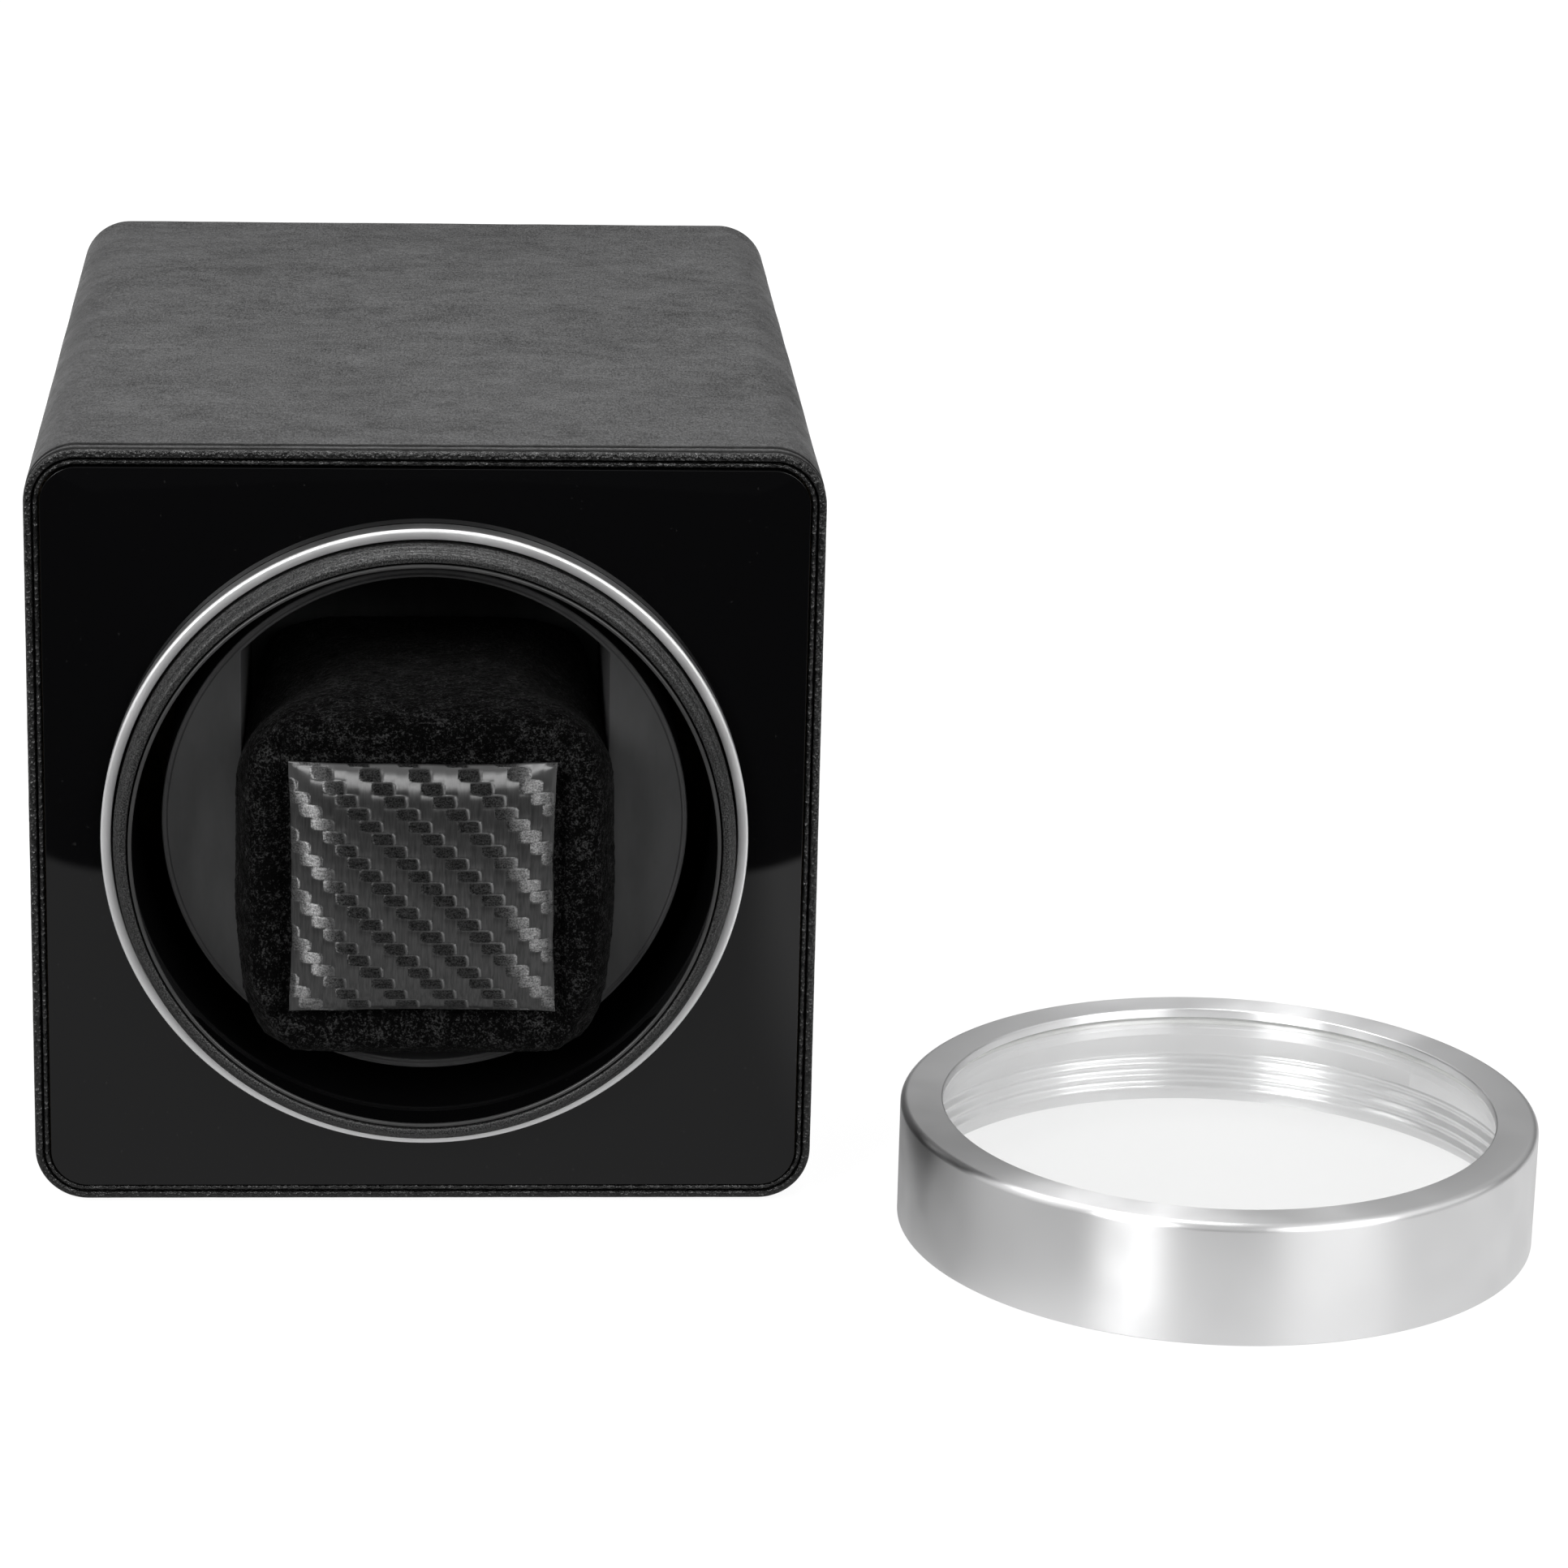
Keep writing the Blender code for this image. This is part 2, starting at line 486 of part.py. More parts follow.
def build_controls():
    revolve("dc_jack", [
        (0, 77.6), (0.7, 77.4), (0.7, 67), (2.8, 67), (2.8, 78.2), (7.0, 78.2), (7.0, BACK_FACE + FIT),
        (5.25, BACK_FACE + FIT), (5.25, 62), (0, 62)], MATTE_BLACK, (JACK_X, CONTROL_Z), 24)
    revolve("dc_jack_nut", [
        (5.35, 71.3), (7.6, 71.3), (7.6, BACK_INNER - FIT), (5.35, BACK_INNER - FIT)],
        STEEL, (JACK_X, CONTROL_Z), 24)

    revolve("mode_switch", [
        (0, 68), (2.05, 68), (2.05, 79.2), (3.5, 79.2), (3.5, BACK_INNER - FIT), (8, BACK_INNER - FIT),
        (8, 62), (0, 62)], STEEL, (0, CONTROL_Z), 24)
    revolve("mode_switch_nut", [
        (3.6, BACK_FACE + FIT), (5.4, BACK_FACE + FIT), (5.4, 78.4), (3.6, 78.4)], STEEL,
        (0, CONTROL_Z), 24)
    pivot = (0, KNOB_PIVOT_Y, CONTROL_Z)
    revolve("mode_spindle", [(0, 68.3), (1.95, 68.3), (1.95, 84.8), (0, 84.8)], STEEL,
            (0, CONTROL_Z), 24, pivot=pivot)
    knob = revolve("mode_knob", [
        (0, 85), (2.05, 85), (2.05, 79.7), (7.5, 79.7), (7.5, 81.0), (6.9, 86.6), (6.4, 87.0),
        (0, 87.0)], MATTE_BLACK, (0, CONTROL_Z), 32, pivot=pivot)
    cut(knob, block("cut_pointer", (-0.4, 86.4, CONTROL_Z + 2.0), (0.4, 88, CONTROL_Z + 9), CUTTER))

    can = (6.4, 9.4)
    plate = (7.5, 10.5)
    well = (5.4, 8.4)
    sections = [(64, can), (BACK_FACE + FIT, can), (BACK_FACE + FIT, plate), (78.2, plate),
                (78.4, (7.3, 10.3)), (78.4, well), (67, well)]
    rings = [at_depth(rounded_rect(w, h, 0.8, corner_steps=2), y, ROCKER_X, CONTROL_Z)
             for y, (w, h) in sections]
    loft("rocker_bezel", rings, MATTE_BLACK)

    # the rocker's side view as (height, depth) points, before it is tilted
    outline = [(-7.2, 79.0), (0, 77.7), (7.2, 79.0), (6.6, 74.6), (2.5, 71.5), (-2.5, 71.5),
               (-6.6, 74.6)]
    tilt = math.radians(ROCKER_TILT)
    turned = []
    for z, y in outline:
        away = y - ROCKER_PIVOT_Y
        turned.append((ROCKER_PIVOT_Y + away * math.cos(tilt) - z * math.sin(tilt),
                       CONTROL_Z + z * math.cos(tilt) + away * math.sin(tilt)))
    rings = [[(ROCKER_X + x, y, z) for y, z in turned] for x in (-5.1, 5.1)]
    loft("power_rocker", rings, GLOSS_BLACK, (ROCKER_X, ROCKER_PIVOT_Y, CONTROL_Z))

    board = block("circuit_board", (-BOARD_X - BOARD_MARGIN, 60.4, BOARD_LOW_Z - BOARD_MARGIN),
                  (BOARD_X + BOARD_MARGIN, 62.0, BOARD_HIGH_Z + BOARD_MARGIN), GREEN_BOARD)
    spots = [(x, z) for z in (BOARD_LOW_Z, BOARD_HIGH_Z) for x in (-BOARD_X, BOARD_X)]
    for number, (x, z) in enumerate(spots, 1):
        revolve(f"board_standoff_{number}", [
            (0, 70), (1.2, 70), (1.2, 62.25), (2.5, 62.25), (2.5, BACK_INNER - FIT),
            (0, BACK_INNER - FIT)], BRASS, (x, z), 16)
        machine_screw(f"board_screw_{number}", x, z, 2.1, 0.95, 60.2, 68.5, STEEL)
        drill(board, f"cut_board_hole_{number}", x, z, 1.25, 59, 63)


def build_cap():
    centre = (CAP_X, CAP_Y)
    pivot = (CAP_X, CAP_Y, 0)
    thread = []
    for turn in range(3):
        z = CAP_THREAD_TOP - THREAD_PITCH * turn
        thread += [(CAP_CREST, z), (CAP_ROOT, z - THREAD_PITCH / 2)]
    revolve("cap_ring", [
        (CAP_R - 0.25, 0), (CAP_R, 0.25), (CAP_R, CAP_HEIGHT - CAP_ROUND),
        (CAP_R - 0.3 * CAP_ROUND, CAP_HEIGHT - 0.3 * CAP_ROUND), (CAP_R - CAP_ROUND, CAP_HEIGHT),
        (CAP_WINDOW + 0.25, CAP_HEIGHT), (CAP_WINDOW, CAP_HEIGHT - 0.25),
        (CAP_WINDOW, 17.4), (CAP_BORE, 17.4), (CAP_BORE, 8.6)] + thread + [
        (CAP_CREST, 1.9), (CAP_ROOT + 0.2, 1.3), (CAP_ROOT + 0.2, 0)],
        ALUMINIUM, centre, RING_STEPS, axis="Z", pivot=pivot)
    revolve("cap_glass", [(0, 15.2), (GLASS_R, 15.2), (GLASS_R, 17.15), (0, 17.15)], GLASS,
            centre, RING_STEPS, axis="Z", pivot=pivot)
    revolve("glass_gasket", [(43.4, 14.1), (45.35, 14.1), (45.35, 14.95), (43.4, 14.95)], RUBBER,
            centre, 48, axis="Z", pivot=pivot)


clear_scene()
build_box()
build_opening()
build_drum()
build_cushion()
build_drive()
build_controls()
build_cap()
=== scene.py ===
"""Looks of the watch winder: fine meshes, materials, floor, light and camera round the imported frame.

Shapes are worked out in millimetres and become metres when a mesh is made. +Z is up and the drum's
opening faces -Y. Each new piece stands for a node of the frame and takes its place and outer size from
it; the finer sizes are given here.
"""
import math

import bmesh
import bpy
import numpy as np
from mathutils import Matrix, Vector


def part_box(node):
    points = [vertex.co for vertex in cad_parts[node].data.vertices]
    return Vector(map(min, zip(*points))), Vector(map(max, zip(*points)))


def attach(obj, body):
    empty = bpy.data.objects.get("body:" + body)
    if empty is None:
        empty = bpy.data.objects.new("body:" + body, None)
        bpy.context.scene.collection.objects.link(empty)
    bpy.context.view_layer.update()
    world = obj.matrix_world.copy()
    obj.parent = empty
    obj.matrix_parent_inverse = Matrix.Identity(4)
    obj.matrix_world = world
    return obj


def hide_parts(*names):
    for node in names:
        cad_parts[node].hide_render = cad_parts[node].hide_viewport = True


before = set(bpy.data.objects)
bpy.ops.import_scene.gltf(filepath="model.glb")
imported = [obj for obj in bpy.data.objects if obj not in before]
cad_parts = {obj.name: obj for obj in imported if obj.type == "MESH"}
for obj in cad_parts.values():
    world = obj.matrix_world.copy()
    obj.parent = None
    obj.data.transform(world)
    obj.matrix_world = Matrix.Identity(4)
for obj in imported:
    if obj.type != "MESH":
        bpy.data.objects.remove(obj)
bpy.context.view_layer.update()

MM = 0.001


def box_mm(node):
    """Lowest and highest corner of a CAD node, in millimetres."""
    low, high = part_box(node)
    return np.array(low) / MM, np.array(high) / MM


# ---------------------------------------------------------------- driving sizes, from the frame
WRAP_LOW, WRAP_HIGH = box_mm("leather_wrap")
HALF_W = (WRAP_HIGH[0] - WRAP_LOW[0]) / 2
HALF_H = (WRAP_HIGH[2] - WRAP_LOW[2]) / 2
MID_Z = (WRAP_HIGH[2] + WRAP_LOW[2]) / 2
FRONT_Y = WRAP_LOW[1]
REAR_Y = WRAP_HIGH[1]
CORNER = 8.0
LEATHER = 1.2
CREASES = (1.7, 4.1)            # distances of the two pressed creases behind the front edge
CREASE_PITCH = 1.9              # one stitch of the creases
PANEL_LOW, PANEL_HIGH = box_mm("front_panel")
PANEL_INSET = HALF_W - PANEL_HIGH[0]
PANEL_HOLE = 46.5
WELT_OUTER = 1.5                # insets of the welt's two sides
WELT_INNER = 2.2
FLANGE_LOW, FLANGE_HIGH = box_mm("ring_flange")
COLLAR_LOW, COLLAR_HIGH = box_mm("threaded_collar")
LINER_LOW, LINER_HIGH = box_mm("liner_tube")
DRUM_LOW, DRUM_HIGH = box_mm("drum_barrel")
CUSHION_LOW, CUSHION_HIGH = box_mm("watch_cushion")
PATCH_LOW, PATCH_HIGH = box_mm("cushion_patch")
CAP_LOW, CAP_HIGH = box_mm("cap_ring")
CAP_CENTRE = (CAP_LOW + CAP_HIGH) / 2
GLASS_LOW, GLASS_HIGH = box_mm("cap_glass")
THREAD_PITCH = 2.0
TOW_X = 1.81                    # width of an upright tow of the patch's weave
TOW_Z = 1.90                    # height of a level tow


# ---------------------------------------------------------------- mesh helpers
def eased(share):
    """A share from 0 to 1 that leaves and reaches its ends smoothly."""
    return share * share * (3 - 2 * share)


def noise(points, size, seed):
    """Smooth random values from -1 to 1 at points, with bumps about size across."""
    table = np.random.default_rng(seed).random(4096)
    scaled = np.asarray(points, float) / size
    cell = np.floor(scaled).astype(np.int64)
    part = eased(scaled - cell)
    total = np.zeros(scaled.shape[:-1])
    for corner in range(8):
        bits = np.array([corner & 1, corner >> 1 & 1, corner >> 2])
        index = ((cell + bits) @ np.array([73856093, 19349663, 83492791])) % len(table)
        weight = np.where(bits == 1, part, 1 - part).prod(axis=-1)
        total += table[index] * weight
    return total * 2 - 1


def grid_faces(rows, cols, wrap_rows, wrap_cols):
    """Four-cornered faces of a grid of vertices, closed round where an axis wraps."""
    index = np.arange(rows * cols).reshape(rows, cols)
    below = np.roll(index, -1, axis=0)
    if not wrap_rows:
        index, below = index[:-1], below[:-1]
    corners = [index, np.roll(index, -1, axis=1), np.roll(below, -1, axis=1), below]
    if not wrap_cols:
        corners = [c[:, :-1] for c in corners]
    return np.stack([c.ravel() for c in corners], axis=1)


def shade_smooth(mesh, sharp=32):
    """Smooth shading, with edges sharper than an angle in degrees kept crisp."""
    mesh.polygons.foreach_set("use_smooth", [True] * len(mesh.polygons))
    mesh.set_sharp_from_angle(angle=math.radians(sharp))


def make_object(name, verts, faces, sharp=32):
    """A mesh object from millimetre points, with its faces turned outwards and smooth shading."""
    mesh = bpy.data.meshes.new(name)
    mesh.from_pydata((np.asarray(verts) * MM).tolist(), [], [list(f) for f in faces])
    bm = bmesh.new()
    bm.from_mesh(mesh)
    bmesh.ops.recalc_face_normals(bm, faces=bm.faces)
    bm.to_mesh(mesh)
    bm.free()
    shade_smooth(mesh, sharp)
    obj = bpy.data.objects.new(name, mesh)
    bpy.context.scene.collection.objects.link(obj)
    return obj


def grid_object(name, points, wrap_rows=True, wrap_cols=True, caps=False, sharp=32):
    """An object from a grid of points; caps close the first and last row of an open stack."""
    rows, cols = points.shape[:2]
    faces = grid_faces(rows, cols, wrap_rows, wrap_cols).tolist()
    if caps:
        faces.append(list(range(cols))[::-1])
        faces.append(list(range((rows - 1) * cols, rows * cols)))
    return make_object(name, points.reshape(-1, 3), faces, sharp)


def mesh_points(obj):
    """An object's vertices, in millimetres."""
    return np.array([v.co for v in obj.data.vertices]) / MM


def place_points(obj, points):
    obj.data.vertices.foreach_set("co", (points * MM).ravel())


def add_values(obj, name, values):
    """Stores one number per vertex, which a material reads by name."""
    attribute = obj.data.attributes.new(name, "FLOAT", "POINT")
    attribute.data.foreach_set("value", np.asarray(values, np.float32).ravel())


def arc(centre, radius, start, end, steps):
    """Points of an arc from start to end degrees, as (first, second) coordinates."""
    angles = np.radians(np.linspace(start, end, steps + 1))
    return [(centre[0] + radius * math.cos(a), centre[1] + radius * math.sin(a)) for a in angles]


def turned_points(profile, centre, axis, segments, thread=None):
    """Grid of points from (radius, height) points turned round the Y or Z axis through centre."""
    profile = np.array(profile, float)
    angle = np.linspace(0, 2 * math.pi, segments, endpoint=False)
    radius = np.repeat(profile[:, :1], segments, axis=1)
    along = np.repeat(profile[:, 1:2], segments, axis=1)
    if thread is not None:
        radius = thread(radius, along, angle[None, :])
    across = radius * np.cos(angle)
    other = radius * np.sin(angle)
    if axis == "Y":
        return np.stack([centre[0] + across, along, centre[1] + other], axis=-1)
    return np.stack([centre[0] + across, centre[1] + other, along], axis=-1)


def ring(name, profile, centre, axis="Y", segments=360, thread=None, sharp=32):
    """Ring turned from a closed profile; thread moves the radii round a helix."""
    return grid_object(name, turned_points(profile, centre, axis, segments, thread), sharp=sharp)


def disc(name, profile, centre, axis="Y"):
    """Solid turned piece whose profile starts and ends off the axis; both ends are capped flat."""
    points = turned_points(profile, centre, axis, 256)
    return grid_object(name, points, wrap_rows=False, caps=True)


def thread_form(turns):
    """Flat-topped thread, from 0 at its roots to 1 on its crests, at a number of turns along it."""
    return np.clip(1.25 - 3.0 * np.abs(turns - np.floor(turns) - 0.5), 0, 1)


def rounded_outline(half_w, half_h, radius, corner_steps, side_steps):
    """Points and outward normals of a rounded rectangle, anticlockwise from its right side's top."""
    points = []
    normals = []
    signs = ((1, 1), (-1, 1), (-1, -1), (1, -1))
    for quarter, (sx, sz) in enumerate(signs):
        centre = np.array([sx * (half_w - radius), sz * (half_h - radius)])
        for step in range(corner_steps + 1):
            angle = math.pi / 2 * (quarter + step / corner_steps)
            normal = np.array([math.cos(angle), math.sin(angle)])
            points.append(centre + radius * normal)
            normals.append(normal)
        nx, nz = signs[(quarter + 1) % 4]
        ahead = np.array([nx * (half_w - radius), nz * (half_h - radius)]) + radius * normal
        start = points[-1]
        for step in range(1, side_steps):
            points.append(start + (ahead - start) * step / side_steps)
            normals.append(normal)
    return np.array(points), np.array(normals)


def case_points(inset, y, corner_steps, side_steps):
    """Grid of points round the case from inset and y arrays, one row per profile point."""
    points, normals = rounded_outline(HALF_W, HALF_H, CORNER, corner_steps, side_steps)
    flat = points[None] - normals[None] * inset[..., None]
    y = np.broadcast_to(y, inset.shape)
    return np.stack([flat[..., 0], y, flat[..., 1] + MID_Z], axis=-1)


def outline_travel(corner_steps, side_steps):
    """Distance travelled round the case at each outline point."""
    points, _ = rounded_outline(HALF_W, HALF_H, CORNER, corner_steps, side_steps)
    steps = np.linalg.norm(np.diff(points, axis=0, append=points[:1]), axis=1)
    return np.concatenate([[0], np.cumsum(steps)[:-1]])


def dress(obj, material, body, slot, *nodes):
    """Gives a piece its material and body, and hides the CAD nodes that it stands for; its slot is not
    used.
    """
    obj.data.materials.clear()
    obj.data.materials.append(material)
    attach(obj, body)
    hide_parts(*nodes)


def front_material(obj, material, depth):
    """Gives the faces in front of a depth (in Y) a second material."""
    obj.data.materials.append(material)
    centres = np.zeros(len(obj.data.polygons) * 3)
    obj.data.polygons.foreach_get("center", centres)
    ahead = centres.reshape(-1, 3)[:, 1] < depth * MM
    obj.data.polygons.foreach_set("material_index", ahead.astype(np.int32))


def cut(target, cutter):
    """Takes the cutter's shape out of the target and removes the cutter."""
    modifier = target.modifiers.new("cut", "BOOLEAN")
    modifier.operation = "DIFFERENCE"
    modifier.solver = "EXACT"
    modifier.object = cutter
    apply_modifiers(target)
    bpy.data.objects.remove(cutter)


def apply_modifiers(obj):
    """Makes the result of an object's modifiers its own mesh."""
    graph = bpy.context.evaluated_depsgraph_get()
    graph.update()
    mesh = bpy.data.meshes.new_from_object(obj.evaluated_get(graph))
    obj.modifiers.clear()
    obj.data = mesh


def bevel_edges(obj, width):
    """Rounds the edges that turn by more than 50 degrees."""
    modifier = obj.modifiers.new("bevel", "BEVEL")
    modifier.width = width * MM
    modifier.segments = 3
    modifier.limit_method = "ANGLE"
    modifier.angle_limit = math.radians(50)
    modifier.harden_normals = False
    apply_modifiers(obj)
    shade_smooth(obj.data)


# ---------------------------------------------------------------- material helpers
class Surface:
    """A material with a Principled shader, and short calls that add nodes to it."""

    def __init__(self, name, color, roughness, metallic=0.0, **sockets):
        self.material = bpy.data.materials.new(name)
        self.material.use_nodes = True
        self.tree = self.material.node_tree
        self.shader = self.tree.nodes["Principled BSDF"]
        self.output = self.tree.nodes["Material Output"]
        self.put(self.shader, "Base Color", (*color, 1.0))
        self.put(self.shader, "Roughness", roughness)
        self.put(self.shader, "Metallic", metallic)
        for socket, value in sockets.items():
            self.put(self.shader, socket.replace("_", " "), value)
        self.where = self.add("ShaderNodeTexCoord").outputs["Object"]

    def put(self, node, socket, value):
        """Sets a socket to a constant, or links another node's output to it."""
        target = node.inputs[socket]
        if isinstance(value, bpy.types.NodeSocket):
            self.tree.links.new(value, target)
        else:
            target.default_value = value

    def add(self, kind, inputs=None, **settings):
        """Adds a node with the given inputs and settings."""
        node = self.tree.nodes.new(kind)
        for key, value in settings.items():
            setattr(node, key, value)
        for socket, value in (inputs or {}).items():
            self.put(node, socket, value)
        return node

    def math(self, operation, first, second):
        return self.add("ShaderNodeMath", {0: first, 1: second}, operation=operation).outputs[0]

    def stretched(self, scale):
        """The surface's own coordinates, multiplied by a scale for each axis."""
        return self.add("ShaderNodeVectorMath", {0: self.where, 1: scale}, operation="MULTIPLY").outputs[0]

    def noise(self, size, detail=2.0, rough=0.5, where=None):
        """Soft noise with bumps about size millimetres across, from 0 to 1."""
        inputs = {"Vector": where or self.where, "Scale": 1 / (size * MM), "Detail": detail,
                  "Roughness": rough}
        return self.add("ShaderNodeTexNoise", inputs).outputs["Fac"]

    def cells(self, size, feature):
        """Distances in a pattern of cells about size millimetres across."""
        inputs = {"Vector": self.where, "Scale": 1 / (size * MM)}
        return self.add("ShaderNodeTexVoronoi", inputs, feature=feature).outputs["Distance"]

    def spread(self, value, low, high, to_low, to_high, smooth=False):
        """Maps value from one range to another, without going past the ends."""
        inputs = {"Value": value, "From Min": low, "From Max": high, "To Min": to_low, "To Max": to_high}
        kind = "SMOOTHSTEP" if smooth else "LINEAR"
        return self.add("ShaderNodeMapRange", inputs, interpolation_type=kind).outputs["Result"]

    def blend(self, share, first, second):
        """A colour from first to second by share."""
        node = self.add("ShaderNodeMix", data_type="RGBA")
        for socket, value in zip(("Factor_Float", "A_Color", "B_Color"), (share, first, second)):
            target = next(s for s in node.inputs if s.identifier == socket)
            if isinstance(value, bpy.types.NodeSocket):
                self.tree.links.new(value, target)
            elif socket == "Factor_Float":
                target.default_value = value
            else:
                target.default_value = (*value, 1.0)
        return next(s for s in node.outputs if s.identifier == "Result_Color")

    def bump(self, height, distance, strength=1.0, under=None):
        """A bump of the given depth in millimetres, over another bump where one is given."""
        inputs = {"Height": height, "Distance": distance * MM, "Strength": strength}
        node = self.add("ShaderNodeBump", inputs)
        if under is not None:
            self.put(node, "Normal", under)
        return node.outputs["Normal"]

    def use(self, **sockets):
        """Links outputs to the Principled shader's sockets."""
        for socket, value in sockets.items():
            self.put(self.shader, socket.replace("_", " "), value)
        return self.material


# ---------------------------------------------------------------- materials
def leather_material():
    """Soft grained leather: pores, short wrinkles that lie across the box, cloudy wear, and painted shade
    in its creases.
    """
    s = Surface("black_leather", (0.05, 0.05, 0.05), 0.45, Specular_IOR_Level=0.36)
    cloud = s.noise(12.0, 4.0, 0.6, s.stretched((0.35, 0.8, 1.0)))
    wrinkle = s.noise(2.6, 5.0, 0.66, s.stretched((0.45, 0.6, 1.0)))
    pore = s.cells(1.0, "SMOOTH_F1")
    grain = s.noise(0.27, 3.0, 0.75, s.stretched((1.0, 0.35, 1.0)))
    under = s.bump(wrinkle, 0.36)
    under = s.bump(pore, 0.16, 0.9, under)
    normal = s.bump(grain, 0.13, 0.9, under)
    patch = s.math("ADD", s.math("MULTIPLY", cloud, 0.4), s.math("MULTIPLY", wrinkle, 0.6))
    tone = s.math("ADD", s.math("MULTIPLY", grain, 0.60), s.math("MULTIPLY", patch, 0.40))
    color = s.blend(s.spread(tone, 0.38, 0.61, 0.0, 1.0), (0.008, 0.008, 0.008), (0.092, 0.092, 0.093))
    crease_shade = s.add("ShaderNodeAttribute", attribute_name="crease_shade").outputs["Fac"]
    # painted shade: the base colour goes nearly black along the pressed creases, which are also rougher
    color = s.blend(crease_shade, color, (0.004, 0.004, 0.004))
    rough = s.math("ADD", s.spread(patch, 0.38, 0.62, 0.53, 0.39), s.math("MULTIPLY", crease_shade, 0.45))
    return s.use(Normal=normal, Roughness=rough, Base_Color=color)


def edge_leather_material():
    """Leather pulled tight round the front edge: polished pebbles with dark valleys between them."""
    s = Surface("edge_leather", (0.02, 0.02, 0.02), 0.22, Specular_IOR_Level=0.42)
    pebble = s.cells(0.48, "SMOOTH_F1")
    fine = s.noise(0.32, 2.0, 0.6)
    normal = s.bump(fine, 0.10, 0.9, s.bump(pebble, 0.34, 1.0))
    color = s.blend(s.spread(pebble, 0.15, 0.6, 0.0, 1.0), (0.014, 0.014, 0.014), (0.002, 0.002, 0.002))
    return s.use(Normal=normal, Roughness=s.spread(fine, 0.3, 0.7, 0.16, 0.32), Base_Color=color)


def gloss_material():
    """Deep black lacquer with a faint haze of wiping marks and a few specks of dust."""
    s = Surface("black_lacquer", (0.0022, 0.0022, 0.0024), 0.03, IOR=1.46)
    smear = s.noise(16.0, 5.0, 0.62, s.stretched((1.0, 1.0, 0.55)))
    dust = s.noise(0.7, 1.0, 0.5)
    haze = s.spread(smear, 0.45, 0.75, 0.025, 0.060)
    color = s.blend(s.spread(dust, 0.77, 0.80, 0.0, 1.0), (0.0022, 0.0022, 0.0024), (0.012, 0.012, 0.012))
    return s.use(Roughness=haze, Base_Color=color)


def metal_material(name, level, roughness, anisotropy, axis, share=1.0):
    """Turned aluminium: fine rings round the axis, which stretch its highlights across them."""
    s = Surface(name, (level, level, level * 1.005), roughness, share, Anisotropic=anisotropy,
                Anisotropic_Rotation=0.25)
    tangent = s.add("ShaderNodeTangent", direction_type="RADIAL", axis=axis)
    s.put(s.shader, "Tangent", tangent.outputs[0])
    fine = s.noise(0.10, 2.0, 0.6)
    patchy = s.noise(9.0, 3.0, 0.5)
    rough = s.spread(patchy, 0.3, 0.7, roughness * 0.9, roughness * 1.12)
    return s.use(Normal=s.bump(fine, 0.004, 0.6), Roughness=rough)


def blasted_material():
    """Black anodised aluminium with a sandblasted skin."""
    s = Surface("black_anodised", (0.05, 0.05, 0.05), 0.42, 0.75)
    sand = s.noise(0.24, 3.0, 0.75)
    streak = s.noise(1.6, 3.0, 0.6)
    color = s.blend(s.spread(sand, 0.42, 0.66, 0.0, 1.0), (0.012, 0.012, 0.012), (0.125, 0.125, 0.125))
    rough = s.spread(streak, 0.3, 0.7, 0.34, 0.5)
    return s.use(Normal=s.bump(sand, 0.06, 0.8), Base_Color=color, Roughness=rough)


def moulding_material(name, color, roughness):
    """Fine matt moulded plastic with faint handling marks."""
    s = Surface(name, color, roughness, IOR=1.46)
    fine = s.noise(0.16, 2.0, 0.6)
    marks = s.noise(7.0, 4.0, 0.65, s.stretched((1.6, 1.0, 0.5)))
    light = tuple(c * 1.12 for c in color)
    dark = tuple(c * 0.90 for c in color)
    tone = s.blend(s.spread(marks, 0.35, 0.65, 0.0, 1.0), dark, light)
    rough = s.spread(marks, 0.3, 0.7, roughness * 0.9, roughness * 1.1)
    return s.use(Normal=s.bump(fine, 0.012, 0.5), Base_Color=tone, Roughness=rough)


def velvet_material():
    """Short black pile: a dark ground, clumped fibre tips painted lighter as highlights, and a soft sheen.
    """
    s = Surface("black_velvet", (0.004, 0.004, 0.004), 0.8, Sheen_Weight=0.02, Sheen_Roughness=0.30,
                Specular_IOR_Level=0.04)
    tips = s.noise(0.28, 3.0, 0.7)
    clump = s.noise(0.65, 2.0, 0.6)
    nap = s.noise(3.0, 2.0, 0.5)
    height = s.math("ADD", s.math("MULTIPLY", tips, 0.5), clump)
    level = s.math("ADD", s.math("MULTIPLY", tips, 0.58), s.math("MULTIPLY", clump, 0.42))
    level = s.math("ADD", level, s.math("MULTIPLY", s.math("SUBTRACT", nap, 0.5), 0.22))
    # painted highlight: fibre tips and clumps get a lighter base colour; the nap varies it at random
    color = s.blend(s.spread(level, 0.505, 0.73, 0.0, 1.0), (0.0004, 0.0004, 0.0004), (0.055, 0.055, 0.055))
    return s.use(Normal=s.bump(height, 0.45, 0.9), Base_Color=color)


